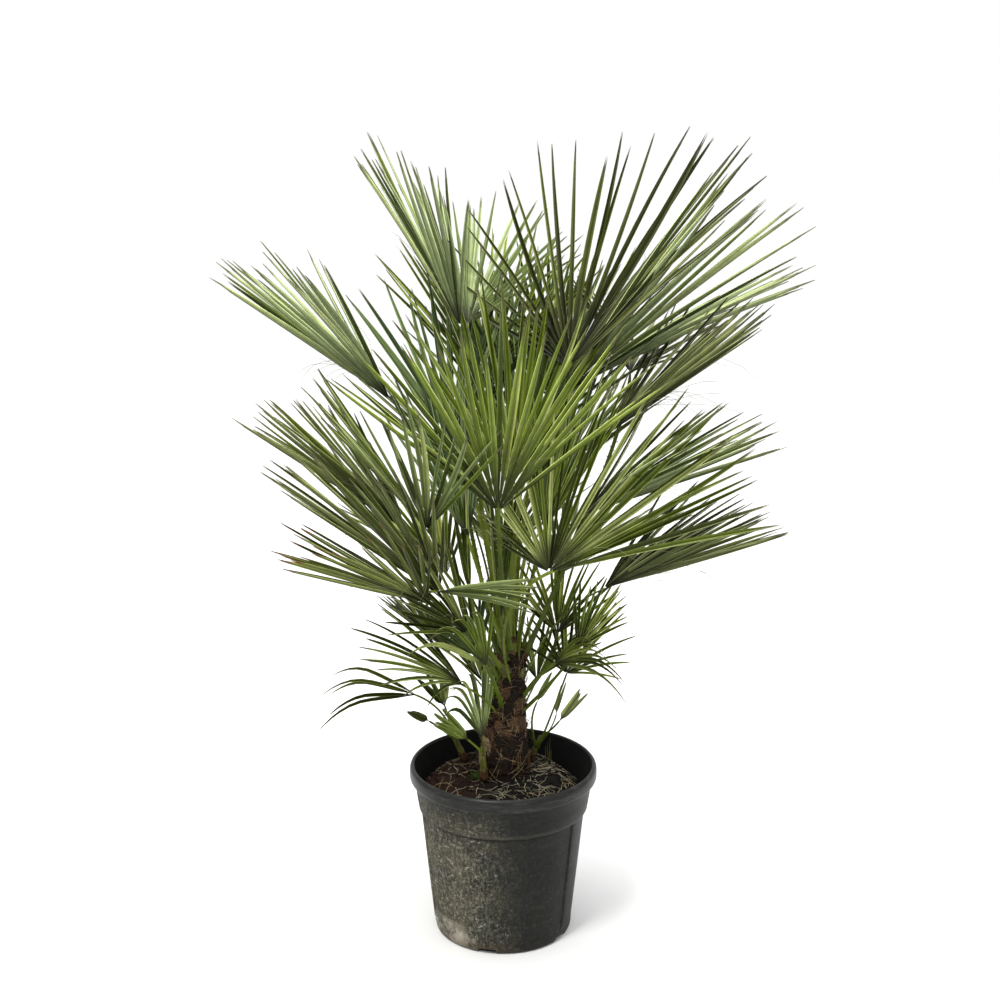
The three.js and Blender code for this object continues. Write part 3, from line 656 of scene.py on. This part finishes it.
def rim_look():
    look = Look("pot_rim")
    plastic = look.ramp(look.noise(30, 6), [(0.3, linear(19, 20, 19)), (0.7, linear(32, 33, 31))])
    scuffs = look.ramp(look.noise(1, 6, 0.7, look.stretched((30, 30, 160))), [(0.52, 0.0), (0.74, 0.5)])
    look.bump(look.noise(150, 5), 0.12, 0.0008)
    return look.finish(look.mixed(scuffs, plastic, linear(82, 82, 76)), 0.36, RIM_GLOSS)


def floor_look():
    look = Look("floor_pale")
    return look.finish(look.ramp(look.noise(0.6, 3), [(0.3, 0.7), (0.7, 0.72)]), 0.85)


# Pot


def corners_past(radius, height, corners):
    return [(radius + out, height + up, share) for out, up, share in corners]


def pot_profile():
    """(radius, height, share of the recess), from the middle of the underside round to the floor."""
    line = [(radius, 0, 0) for radius in UNDERSIDE_RADII] + corners_past(*FOOT_CORNERS)
    low = line[-1]
    for k in range(1, PANEL_ROWS):
        line.append(tuple(a + (b - a) * k / PANEL_ROWS for a, b in zip(low, BODY_TOP)))
    for group in UPPER_CORNERS:
        line += corners_past(*group)
    inside = corners_past(*INNER_CORNERS) + [(radius, z, 0) for z, radius in reversed(INNER_WALL)]
    return line + inside + [(0, FLOOR, 0)], len(line)


def panel_share(angle):
    """0 on a rib between two panels and 1 on a panel, at an angle in degrees from the front."""
    step = 360 / PANELS
    off = abs((angle - PANEL_START + step / 2) % step - step / 2)
    return float(np.clip((off - PANEL_RIB / 2) / PANEL_EDGE + 0.5, 0, 1))


def make_pot():
    profile, first_inside = pot_profile()
    half_gap = 180 / NOTCHES
    points = []
    notched = set()
    for radius, z, recess in profile:
        for j in range(POT_SIDES):
            degrees = 360 * j / POT_SIDES
            a = math.radians(degrees)
            r = radius - RECESS_SHOWN * recess * panel_share(degrees)
            off = (degrees - FIRST_NOTCH + half_gap) % (2 * half_gap) - half_gap
            in_notch = abs(math.radians(off)) * BASE_RADIUS < NOTCH_WIDTH / 2
            if in_notch and z < NOTCH_HEIGHT and radius > BASE_RADIUS - NOTCH_DEPTH:
                notched.add(len(points))
            height = NOTCH_HEIGHT if len(points) in notched else z
            if COLLAR_FOOT < z < POT_HEIGHT - UNSAGGED_TOP:
                height += POT_SAG * math.sin(2 * a + SAG_TURN)
            points.append((r * math.sin(a), -r * math.cos(a), height))
    wall_kind, rim_kind, inside_kind = range(3)
    kinds = []
    for k, (near, far) in enumerate(zip(profile, profile[1:])):
        on_rim = min(near[1], far[1]) >= POT_HEIGHT - RIM_BAND and near[0] > COLLAR_RADIUS
        for j in range(POT_SIDES):
            inside = k >= first_inside or (k + 1) * POT_SIDES + j in notched
            kinds.append(rim_kind if on_rim else inside_kind if inside else wall_kind)
    shape = Shape()
    shape.add(points, ring_faces(len(profile), POT_SIDES, flipped=True), kinds)
    pot = shape.build("pot_moulded", [pot_look(), rim_look(), plain["pot_inside"]], ["pot"], "pot_plastic")
    merge(pot.data)


def merge(mesh):
    """Points that lie together become one, so that shading runs on over them."""
    made = bmesh.new()
    made.from_mesh(mesh)
    bmesh.ops.remove_doubles(made, verts=made.verts, dist=MERGED_WITHIN)
    made.to_mesh(mesh)
    made.free()


# Soil


def soil_height(x, y):
    r = math.hypot(x, y)
    width, fall = SOIL_SHOULDER
    outline = [(GROUND_RADIUS, GROUND), (GROUND_RADIUS + width, GROUND - fall), (SOIL_REACH + 0.1, SOIL_EDGE)]
    level = along(outline, r)
    if r > GROUND_RADIUS:
        level -= (SOIL_TILT * (x + y) / (2 * r) + SOIL_SINK) * min(1, (r - GROUND_RADIUS) / width)
    lump, rise = SOIL_LUMPS
    grain, fine_rise = SOIL_GRAINS
    rough = noise.fractal(Vector((x / lump, y / lump, 3)), 1.0, 2.2, 4)
    fine = noise.noise(Vector((x / grain, y / grain, 9)))
    return level - SOIL_SKIN + rise * rough + fine_rise * fine


def somewhere(rng, reach):
    """A random place on the soil."""
    r = reach * math.sqrt(rng.random())
    a = rng.random() * 2 * math.pi
    return r * math.cos(a), r * math.sin(a)


def on_soil(x, y):
    return np.array((x, y, soil_height(x, y)))


def make_soil():
    rng = np.random.default_rng(7)
    rings, around = SOIL_RINGS
    points = [(0, 0, soil_height(0, 0))]
    for k in range(1, rings + 1):
        r = SOIL_REACH * k / rings
        for j in range(around):
            a = 2 * math.pi * j / around
            x, y = r * math.cos(a), r * math.sin(a)
            points.append((x, y, soil_height(x, y)))
    faces = [(0, 1 + j, 1 + (j + 1) % around) for j in range(around)] + ring_faces(rings, around, 1)
    rim = len(points) - around
    inward, skirt = SOIL_SKIRT
    points += [(x * inward, y * inward, skirt) for x, y, _ in points[rim:]]
    faces += ring_faces(2, around, rim)
    surface = Shape()
    surface.add(points, faces, 0)
    soil = soil_look()
    surface.build("soil_surface", [soil], ["soil"], "potting_soil")

    clods = Shape()
    corners, clod_faces = icosahedron()
    small, range_up = CLOD_SIZES
    for _ in range(CLODS):
        x, y = somewhere(rng, SOIL_REACH * 0.985)
        size = small + range_up * rng.random() ** 3
        clod = corners * (size * rng.uniform(*CLOD_STRETCH, (12, 1))) * (1, 1, CLOD_FLATNESS)
        clods.add(list(clod + on_soil(x, y) + UP * size * 0.3), clod_faces, 0)
    clods.build("soil_clods", [soil], [], "potting_soil", smooth=False)

    bits = Shape()
    sprout_kind, moss_kind = 3, 4
    for k in range(STRAWS):
        x, y = somewhere(rng, SOIL_REACH * 0.95)
        length = rng.uniform(*STRAW_LENGTHS)
        heading = rng.random() * 2 * math.pi
        line = []
        for step in range(STRAW_STEPS + 1):
            if math.hypot(x, y) < SOIL_REACH - 3:
                line.append(on_soil(x, y) + UP * (1.6 + 2.2 * math.sin(step * 0.9 + k) ** 2))
            heading += rng.normal(0, 0.22)
            x += math.cos(heading) * length / STRAW_STEPS
            y += math.sin(heading) * length / STRAW_STEPS
        if len(line) > 3 and (x > BARE_LEFT or k % 2):
            thick = rng.uniform(*STRAW_RADII)
            kind = int(rng.choice(3, p=STRAW_KINDS))
            bits.tube(line, [thick * (1 - 0.5 * i / len(line)) for i in range(len(line))], 4, kind)
    for x, y, height in SPROUTS:
        foot = on_soil(x, y)
        line = []
        for t in (0, 0.3, 0.6, 1):
            line.append(foot + np.array((rng.normal(0, 1) * t, rng.normal(0, 1) * t, height * t)))
        bits.tube(line, [0.9, 0.8, 0.6, 0.2], 4, sprout_kind)
    for _ in range(MOSS_TUFTS):
        foot = on_soil(*(rng.normal(*spot) for spot in MOSS_PLACE))
        way = np.array((rng.normal(0, 3), rng.normal(0, 3), rng.uniform(4, 11)))
        bits.tube([foot, foot + way * 0.6, foot + way], [0.7, 0.6, 0.15], 3, moss_kind)
    looks = plain_ones("root_grey", "thread_straw", "fibre_tan", "stalk_green", "moss_green")
    bits.build("soil_straw_and_roots", looks, [], "potting_soil")


def icosahedron():
    """The 12 corners, at a distance of 1, and the 20 faces, turned outwards."""
    gold = (1 + 5**0.5) / 2
    corners = []
    for a in (-1, 1):
        for b in (-gold, gold):
            corners += [(0, a, b), (a, b, 0), (b, 0, a)]
    corners = np.asarray(corners, float)
    faces = []
    for trio in combinations(range(12), 3):
        i, j, k = trio
        if max(np.linalg.norm(corners[p] - corners[q]) for p, q in combinations(trio, 2)) < 2.1:
            normal = np.cross(corners[j] - corners[i], corners[k] - corners[i])
            faces.append(trio if np.dot(normal, corners[i]) > 0 else (i, k, j))
    return corners / np.linalg.norm(corners[0]), faces


# Stems

stems = {
    "trunk": ([np.array((x, y, GROUND + SEAT_GAP + h), float) for x, y, h in TRUNK_AXIS], TRUNK_RADII),
}
for shoot_name, (foot_xy, top_xy, shoot_height) in SHOOTS.items():
    ends = [np.array((*foot_xy, GROUND + SEAT_GAP), float), np.array((*top_xy, GROUND + shoot_height), float)]
    stems[shoot_name] = (ends, SHOOT_RADII)


def stem_point(stem, share):
    return evenly(stems[stem][0], [share])[0]


def level_way(angle):
    return np.array((math.cos(angle), math.sin(angle), 0.0))


def on_trunk(height_share, angle, extra):
    """A point on the trunk's skin or some way outside it, and its outward direction."""
    outward = level_way(angle)
    centre = stem_point("trunk", float(np.clip(height_share, 0, 1)))
    return centre + outward * (along(TRUNK_RADII, height_share) + extra), outward


def make_trunk():
    rng = np.random.default_rng(11)
    rows, around = TRUNK_RINGS
    around_scale, up_scale, rise = BARK
    points = []
    for k in range(rows):
        share = k / (rows - 1)
        centre = stem_point("trunk", share)
        for j in range(around):
            a = 2 * math.pi * j / around
            place = Vector((around_scale * math.cos(a), around_scale * math.sin(a), share * up_scale))
            bark = noise.fractal(place, 1.0, 2.1, 5)
            points.append(centre + level_way(a) * (along(TRUNK_RADII, share) - SKIN_INSET + rise * bark))
    faces = ring_faces(rows, around, flipped=True) + [tuple((rows - 1) * around + j for j in range(around))]
    skin = Shape()
    skin.add(points, faces, 0)
    skin.build("trunk_skin", [plain["fibre_dark"]], ["trunk"], "trunk_fibre")

    flakes = Shape()
    for k in range(LEAF_BASES):
        share = 0.02 + 0.86 * k / LEAF_BASES
        angle = k * GOLDEN_ANGLE + rng.normal(0, 0.08)
        tall = rng.uniform(*LEAF_BASE_HEIGHTS)
        wide = rng.uniform(*LEAF_BASE_WIDTHS) * (1 - 0.35 * share)
        add_leaf_base(flakes, share, angle, tall, wide, rng)
    looks = plain_ones("fibre_dark", "fibre_brown", "fibre_tan", "stalk_green")
    flakes.build("trunk_leaf_bases", looks, [], "trunk_fibre")

    fibres = Shape()
    for k in range(FIBRES):
        share = rng.random() ** 0.85 * 0.9
        angle = rng.random() * 2 * math.pi
        loose = k % LOOSE_EVERY == 0
        slope = rng.normal(0, 0.9)
        length = rng.uniform(*FIBRE_LENGTHS)
        lift = rng.uniform(0.3, 2.4)
        stand = rng.uniform(6, 20) if loose else rng.uniform(0, 2.5)
        curl = rng.normal(0, 9) if loose else rng.normal(0, 2)
        line = []
        for t in np.linspace(0, 1, 7):
            at = share + length * t / TRUNK_RUN * math.cos(slope) * (0.6 if loose else 1)
            turn = angle + length * t / 40 * math.sin(slope) * 0.8
            point, outward = on_trunk(min(at, 0.985), turn, lift + stand * t * t)
            aside = np.array((-outward[1], outward[0], 0.0))
            line.append(point + aside * curl * math.sin(3.1 * t) + UP * (-14 * t * t if loose else 0))
        line = [p for p in line if p[2] > GROUND]
        if len(line) > 3:
            radii = [rng.uniform(*FIBRE_RADII)] * (len(line) - 1) + [0.1]
            fibres.tube(line, radii, 3, int(rng.choice(3, p=FIBRE_KINDS)))
    fibres.build("trunk_fibres", looks[:3], [], "trunk_fibre")


def add_leaf_base(shape, share, angle, tall, wide, rng):
    """The stub of an old leaf: a shield that hugs the trunk and stands out a little at its top."""
    across, rows = 5, 6
    outer, inner = [], []
    for r in range(rows):
        t = r / (rows - 1)
        half = wide * (1 - 0.62 * t**1.4) * (1 + 0.05 * rng.normal())
        at = share + tall * t / TRUNK_RUN
        for c in range(across):
            s = 2 * c / (across - 1) - 1
            lift = 0.4 + 5.2 * t**1.7 + 1.6 * (1 - s * s)
            round_by = s * half / max(along(TRUNK_RADII, min(at, 1)), 12)
            point, outward = on_trunk(min(at, 0.99), angle + round_by, lift)
            outer.append(point)
            inner.append(point - outward * 2.2)
    n = len(outer)
    green_kind = 3
    shares = LEAF_BASE_KINDS[0 if share < PALE_BELOW else 1]
    is_green = share > GREEN_ABOVE and rng.random() < 0.5
    kind = green_kind if is_green else int(rng.choice(3, p=shares))
    faces = []
    for r in range(rows - 1):
        for c in range(across - 1):
            a = r * across + c
            faces.append((a, a + 1, a + across + 1, a + across))
            faces.append((n + a, n + a + across, n + a + across + 1, n + a + 1))
    ring = list(range(across)) + [r * across + across - 1 for r in range(1, rows)]
    ring += [(rows - 1) * across + c for c in range(across - 2, -1, -1)]
    ring += [r * across for r in range(rows - 2, 0, -1)]
    for a, b in zip(ring, ring[1:] + ring[:1]):
        faces.append((b, a, n + a, n + b))
    shape.add(outer + inner, faces, kind)


def make_shoots():
    rng = np.random.default_rng(5)
    green_faces = len(tube_faces(SHEATH_RINGS, SHEATH_SIDES)) - RED_FACES
    for name in SHOOTS:
        shape = Shape()
        foot, top = stems[name][0]
        for k in range(SHEATHS):
            low = rng.uniform(0, 0.12)
            high = rng.uniform(0.7, 1.0)
            line, radii = [], []
            for t in np.linspace(low, high, SHEATH_RINGS):
                radius = along(SHOOT_RADII, t)
                line.append(foot + (top - foot) * t + level_way(k * SHEATH_ANGLE + t) * radius * 0.42)
                radii.append(radius * 0.6 * (1 - 0.15 * t))
            shape.tube(line, radii, SHEATH_SIDES, [1] * RED_FACES + [0] * green_faces, 0.8)
        shape.build(f"{name}_sheaths", plain_ones("stalk_green", "stalk_red"), [name], "shoot_sheath")


# Fronds


def front_aim(azimuth, lift):
    """The turn and lean of a direction given by its azimuth and lift, in degrees."""
    a, e = math.radians(azimuth), math.radians(lift)
    away = math.sin(a) * math.cos(e)
    turn = math.atan2(math.sin(e), math.cos(a) * math.cos(e))
    return math.degrees(turn), math.degrees(math.asin(away))


def all_rows():
    rows = list(FRONDS)
    for name, first, step, count, reach, height, lift, radius in BACK_TIERS:
        for i in range(count):
            azimuth = first + i * step
            a = math.radians(azimuth)
            hub = (reach * math.cos(a), reach * math.sin(a), height + 20 * (i % 2))
            aim = front_aim(azimuth, lift + 4 * i)
            spread = (BACK_SPREAD, BACK_SPREAD)
            tone = BACK_TONES[(len(rows) + i) % len(BACK_TONES)]
            rows.append(
                (f"{name}_{i + 1}", "trunk", hub, aim, 0, radius - 10 * i, spread, BACK_FOLD, BACK_DROOP,
                 BACK_LEAFLETS, tone)
            )
    return rows + SMALL_BACK


class Frond:
    """One fan leaf, with the source's rule for its place, reach and fold, and finer pleated leaflets."""

    def __init__(self, row, number):
        name, stem, hub, aim, roll, radius, spread, fold, droop, leaflets, tone = row
        self.name, self.stem, self.radius, self.droop, self.tone = name, stem, radius, droop, tone
        self.hub = np.array(hub, float)
        self.leaflets = leaflets
        self.fold = math.radians(fold)
        self.spread = [math.radians(s) for s in spread]
        self.rng = np.random.default_rng(100 + number)
        turn, lean = (math.radians(part) for part in aim)
        level = math.cos(lean)
        self.out = np.array((math.cos(turn) * level, math.sin(lean), math.sin(turn) * level))
        face = unit(UP - self.out * self.out[2])
        self.face = turned_about(face, self.out, math.radians(roll))
        self.across = np.cross(self.out, self.face)
        self.is_fan = radius > FAN_LEAST[0] and spread[0] > FAN_LEAST[1]

    def steepness(self):
        foot = stem_point(self.stem, CROWN_SHARE)
        return math.atan2(self.hub[2] - foot[2], math.hypot(*(self.hub - foot)[:2]))

    def direction(self, angle):
        side = math.sin(angle)
        return unit(
            self.out * math.cos(angle)
            + self.across * side * math.cos(self.fold)
            + self.face * abs(side) * math.sin(self.fold)
        )

    def petiole_ends(self, rank, slip, swing, sidestep):
        feet = PETIOLE_FEET if self.stem == "trunk" else SHOOT_FEET
        share = feet[0] + (feet[1] - feet[0]) * rank + slip
        foot = stem_point(self.stem, share)
        outward = (self.hub - foot) * np.array((1, 1, 0))
        outward = turned_about(unit(outward), UP, math.radians(swing))
        foot = foot + outward * FOOT_OFFSET * along(stems[self.stem][1], share)
        tip = self.hub + self.out * HASTULA_SHARE * self.radius
        aside = unit(np.cross(self.hub - foot, UP))
        bend = self.hub - self.out * PETIOLE_ARCH * np.linalg.norm(self.hub - foot) + aside * sidestep
        return [foot, bend, tip]

    def petiole_radius(self, share):
        thick, thin = PETIOLE_RADII if self.stem == "trunk" else SHOOT_PETIOLE_RADII
        return thick + (thin - thick) * np.minimum(1, np.asarray(share) / PETIOLE_TAPER_SHARE)

    def settled_petiole(self, rank):
        """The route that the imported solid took: the one whose rings lie on the node's own points."""
        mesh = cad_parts[self.name].data
        solid = np.empty(len(mesh.vertices) * 3)
        mesh.vertices.foreach_get("co", solid)
        solid = solid.reshape(-1, 3) * 1000
        rings = np.arange(1, PETIOLE_STEPS) / PETIOLE_STEPS
        best, route = -1, None
        for sidestep in SIDESTEPS:
            for swing in SWINGS:
                for slip in SLIPS:
                    ends = self.petiole_ends(rank, slip, swing, sidestep)
                    centres = evenly(ends, rings)
                    away = np.linalg.norm(solid[None] - centres[:, None], axis=2)
                    off = away - self.petiole_radius(rings)[:, None]
                    hits = int((np.abs(off) < ON_SOLID).sum())
                    if hits > best:
                        best, route = hits, ends
        return route

    def make_petiole(self, shape, spines, rank):
        line = evenly(self.settled_petiole(rank), np.linspace(0, 1, PETIOLE_RINGS))
        way = np.gradient(line, axis=0)
        way /= np.linalg.norm(way, axis=1)[:, None]
        count, sides = PETIOLE_RINGS, PETIOLE_SIDES
        on_stem = self.stem == "trunk"
        base = self.petiole_radius(np.linspace(0, 1, count)) * (1.08 if on_stem else 1.0)
        side = self.across.copy()
        frames = [None] * count
        for k in reversed(range(count)):
            side = unit(side - way[k] * np.dot(side, way[k]))
            frames[k] = (side.copy(), np.cross(side, way[k]))
        points = []
        for k in range(count):
            t = k / (count - 1)
            flare = 1 + (1.1 * max(0, 1 - t / 0.16) ** 1.5 if on_stem else 0.35 * max(0, 1 - t / 0.2))
            close = 1 if t < 0.93 else 1 - 0.75 * (t - 0.93) / 0.07
            half, top = base[k] * flare * close, base[k] * 0.42 * close
            side, over = frames[k]
            for j in range(sides):
                a = 2 * math.pi * j / sides
                rise = math.sin(a)
                lift = rise * (top * 0.55 if rise > 0 else top * 1.5)
                points.append(line[k] + side * half * math.cos(a) + over * lift)
        pale = self.tone in ("young", "pale", "blue") or self.rng.random() < PALE_PETIOLES
        green = 2 if pale else 0
        brown_faces = (2 if on_stem else 1) * sides
        green_faces = (count - 1) * sides - brown_faces
        kinds = [green] + [1] * brown_faces + [green] * (green_faces + 1)
        shape.add(points, tube_faces(count, sides), kinds)
        if on_stem and self.radius > SPINY_REACH:
            self.add_spines(spines, line, way, frames, base)

    def add_spines(self, spines, line, way, frames, base):
        run = np.concatenate([[0], np.cumsum(np.linalg.norm(np.diff(line, axis=0), axis=1))])
        for sign in (-1, 1):
            at = run[-1] * SPINY_RUN[0]
            while at < run[-1] * SPINY_RUN[1]:
                k = int(np.searchsorted(run, at)) - 1
                share = (at - run[k]) / (run[k + 1] - run[k])
                centre = line[k] + (line[k + 1] - line[k]) * share
                side, over = frames[k]
                foot = centre + side * sign * base[k] * 0.92
                long = self.rng.uniform(*SPINE_LENGTHS)
                tip = foot + side * sign * long * 0.8 + way[k] * long * 0.75
                a, b = foot - way[k] * 1.3, foot + way[k] * 1.3
                c, d = foot - over * 0.7, foot + over * 0.7
                spines.add([a, d, b, c, tip], [(0, 1, 4), (1, 2, 4), (2, 3, 4), (3, 0, 4)], 0)
                at += self.rng.uniform(*SPINE_GAPS)

    def make_blade(self, shape, threads):
        left, right = self.spread
        n = self.leaflets
        step = (left + right) / n
        clefts = self.cleft_shares(n)
        for i in range(n):
            middle = self.gathered(-left + (i + 0.5) * step) + self.rng.normal(0, UNEVEN_STEP) * step
            half = (self.gathered(-left + (i + 1) * step) - self.gathered(-left + i * step)) / 2
            self.add_leaflet(shape, middle, half, clefts[i], clefts[i + 1])
        if self.is_fan:
            for i in range(1, n):
                if self.rng.random() < THREAD_SHARE:
                    self.add_thread(threads, self.gathered(-left + i * step), clefts[i])

    def gathered(self, even):
        """Leaflets stand closer together about the middle of a fan than at its sides."""
        return even - GATHERED * math.sin(2 * even)

    def cleft_shares(self, n):
        """How far out the fan splits, at each boundary between two leaflets."""
        if not self.is_fan:
            return [0.12] * (n + 1)
        base = 0.15 + 0.04 * self.rng.random()
        shares = [base + self.rng.uniform(-0.03, 0.05) for _ in range(n + 1)]
        shares[0] = shares[-1] = 0.1
        return shares

    def add_leaflet(self, shape, middle, half, cleft_left, cleft_right):
        rng = self.rng
        turn = abs(middle) / math.radians(90)
        length = self.radius * (1 - SIDE_SHORTENING * turn * turn) * rng.uniform(*LENGTH_SHARES)
        way = self.direction(middle)
        aside = unit(self.direction(middle + 0.02) - self.direction(middle - 0.02))
        over = np.cross(aside, way)
        fold = math.radians(rng.uniform(*FOLDS)) * (1.0 if self.is_fan else STRAP_FOLD)
        twist = math.radians(rng.normal(0, TWIST))
        swerve = rng.normal(0, SWERVE)
        lift = rng.normal(*LIFT)
        droop = self.droop + abs(rng.normal(0, UNEVEN_DROOP))
        if self.is_fan and rng.random() < BENT_SHARE:
            lift += rng.choice((-1, 1)) * rng.uniform(*BENT_LIFTS)
        cleft = min(cleft_left, cleft_right)
        least, growth = FAN_WIDTH if self.is_fan else STRAP_WIDTH
        usual = BUD_WIDTH if self.radius < BUD_REACH else least + growth * self.radius
        widest = usual * rng.uniform(0.8, 1.15) * max(0.65, 1 - NARROW_SIDES * turn * turn)

        def width(share, split):
            start = min(share, split) * self.radius * math.sin(half)
            if share <= split:
                return min(start, widest)
            beyond = (share - split) / (1 - split)
            start = min(start, widest)
            return (start + (widest - start) * min(1, beyond / 0.12)) * along(LEAFLET_OUTLINE, beyond)

        def point(share):
            beyond = max(0.0, share - cleft)
            p = self.hub + way * length * share
            p = p + aside * swerve * length * beyond**2 + over * lift * length * beyond**1.5
            tip_fall = STRAP_CURL * max(0.0, share - 0.5) ** 2 if self.droop > 0.1 and not self.is_fan else 0
            return p - UP * length * (droop * share * share + tip_fall)

        thick = LEAF_THICKNESS[0] + LEAF_THICKNESS[1] * self.radius
        rib_top, rib_under = [], []
        margins = {-1: ([], []), 1: ([], [])}
        for share in LEAFLET_ROWS:
            turned = twist * max(0.0, share - cleft) / (1 - cleft)
            u = aside * math.cos(turned) + over * math.sin(turned)
            v = over * math.cos(turned) - aside * math.sin(turned)
            w = 0.5 * (width(share, cleft_left) + width(share, cleft_right))
            deep = w * math.tan(fold)
            rib = point(min(share, RIB_END)) - v * deep * 0.5
            rib_top.append(rib + v * thick)
            rib_under.append(rib - v * thick)
            for sign, split in ((-1, cleft_left), (1, cleft_right)):
                own = width(share, split)
                opened = 1 - (1 - math.cos(fold)) * min(1, max(0, (share - split) / 0.1))
                edge = point(share) + u * sign * max(own, 0.35) * opened + v * deep * 0.5
                margins[sign][0].append(edge + v * thick * 0.7)
                margins[sign][1].append(edge - v * thick * 0.7)
        at_side = abs(middle) > SIDES_FROM * max(self.spread)
        tone = int(rng.choice(UPPERS, p=SIDE_TONES if at_side else MIDDLE_TONES))
        under = tone if rng.random() < ALIKE_SHARE else UNDER
        for sign in (-1, 1):
            top, low = margins[sign]
            if sign < 0:
                shape.strip(rib_top, top, tone)
                shape.strip(low, rib_under, under, (1.0, 0.0))
                shape.strip(top, low, EDGE, (1.0, 1.0))
            else:
                shape.strip(top, rib_top, tone, (1.0, 0.0))
                shape.strip(rib_under, low, under)
                shape.strip(low, top, EDGE, (1.0, 1.0))

    def add_thread(self, threads, angle, cleft):
        rng = self.rng
        way = self.direction(angle)
        start = self.hub + way * self.radius * cleft
        long = rng.uniform(*THREAD_LENGTHS) * self.radius
        aside = unit(np.cross(way, UP) + 1e-6)
        bow = rng.normal(0, 0.28)
        fall = rng.uniform(0.1, 0.8)
        line = []
        for t in np.linspace(0, 1, 8):
            p = start + way * long * t * rng.uniform(0.97, 1.03) + aside * bow * long * math.sin(2.2 * t)
            line.append(p - UP * fall * long * t * t)
        threads.tube(line, [THREAD_RADIUS] * 7 + [0.12], 3, 0)


def make_fronds():
    fronds = [Frond(row, number) for number, row in enumerate(all_rows())]
    ranks = {}
    trunk_fronds = sorted((f for f in fronds if f.stem == "trunk"), key=Frond.steepness)
    for i, frond in enumerate(trunk_fronds):
        ranks[frond.name] = i / (len(trunk_fronds) - 1)
    for stem in SHOOTS:
        own = [f for f in fronds if f.stem == stem]
        for i, frond in enumerate(own):
            ranks[frond.name] = i / max(1, len(own) - 1)
    petioles, spines, threads = Shape(), Shape(), Shape()
    for frond in fronds:
        blade = Shape()
        frond.make_blade(blade, threads)
        blade.build(f"fan_{frond.name}", leaf_materials[frond.tone], [frond.name], "frond_leaf")
        frond.make_petiole(petioles, spines, ranks[frond.name])
    petioles.build("petioles", plain_ones("petiole_green", "sheath_brown", "petiole_pale"), [], "frond_leaf")
    spines.build("petiole_spines", plain_ones("spine_straw"), [], "frond_leaf", smooth=False)
    threads.build("leaf_threads", plain_ones("thread_straw"), [], "frond_leaf")


# Stage


def point_at(thing, place, target):
    thing.location = place
    thing.rotation_euler = (Vector(target) - Vector(place)).to_track_quat("-Z", "Y").to_euler()


def add_light(name, place, size, energy, colour):
    data = bpy.data.lights.new(name, "AREA")
    data.shape = "DISK"
    data.size = size
    data.energy = energy
    data.color = colour
    point_at(placed(name, data), place, LIT_POINT)


def make_sky():
    """An even white sky, brighter overhead than at the horizon."""
    world = bpy.data.worlds.new("studio")
    world.use_nodes = True
    nodes, links = world.node_tree.nodes, world.node_tree.links
    way = nodes.new("ShaderNodeTexCoord")
    split = nodes.new("ShaderNodeSeparateXYZ")
    brightness = nodes.new("ShaderNodeMapRange")
    brightness.inputs["To Min"].default_value = SKY_AT_HORIZON
    brightness.inputs["To Max"].default_value = SKY_OVERHEAD
    links.new(way.outputs["Generated"], split.inputs[0])
    links.new(split.outputs["Z"], brightness.inputs["Value"])
    links.new(brightness.outputs["Result"], nodes["Background"].inputs["Strength"])
    nodes["Background"].inputs["Color"].default_value = (1, 1, 1, 1)
    bpy.context.scene.world = world


def make_stage():
    far = FLOOR_REACH
    mesh = bpy.data.meshes.new("floor")
    mesh.from_pydata([(-far, -far, 0), (far, -far, 0), (far, far, 0), (-far, far, 0)], [], [(0, 1, 2, 3)])
    mesh.materials.append(floor_look())
    ground = placed("floor", mesh)
    make_sky()
    for light in LIGHTS:
        add_light(*light)
    bpy.context.scene.view_settings.view_transform = "Standard"
    data = bpy.data.cameras.new("camera")
    data.lens = LENS
    data.sensor_width = SENSOR
    camera = placed("camera", data)
    point_at(camera, CAMERA_PLACE, CAMERA_TARGET)
    bpy.context.scene.camera = camera


make_stage()
make_pot()
make_soil()
make_trunk()
make_shoots()
make_fronds()
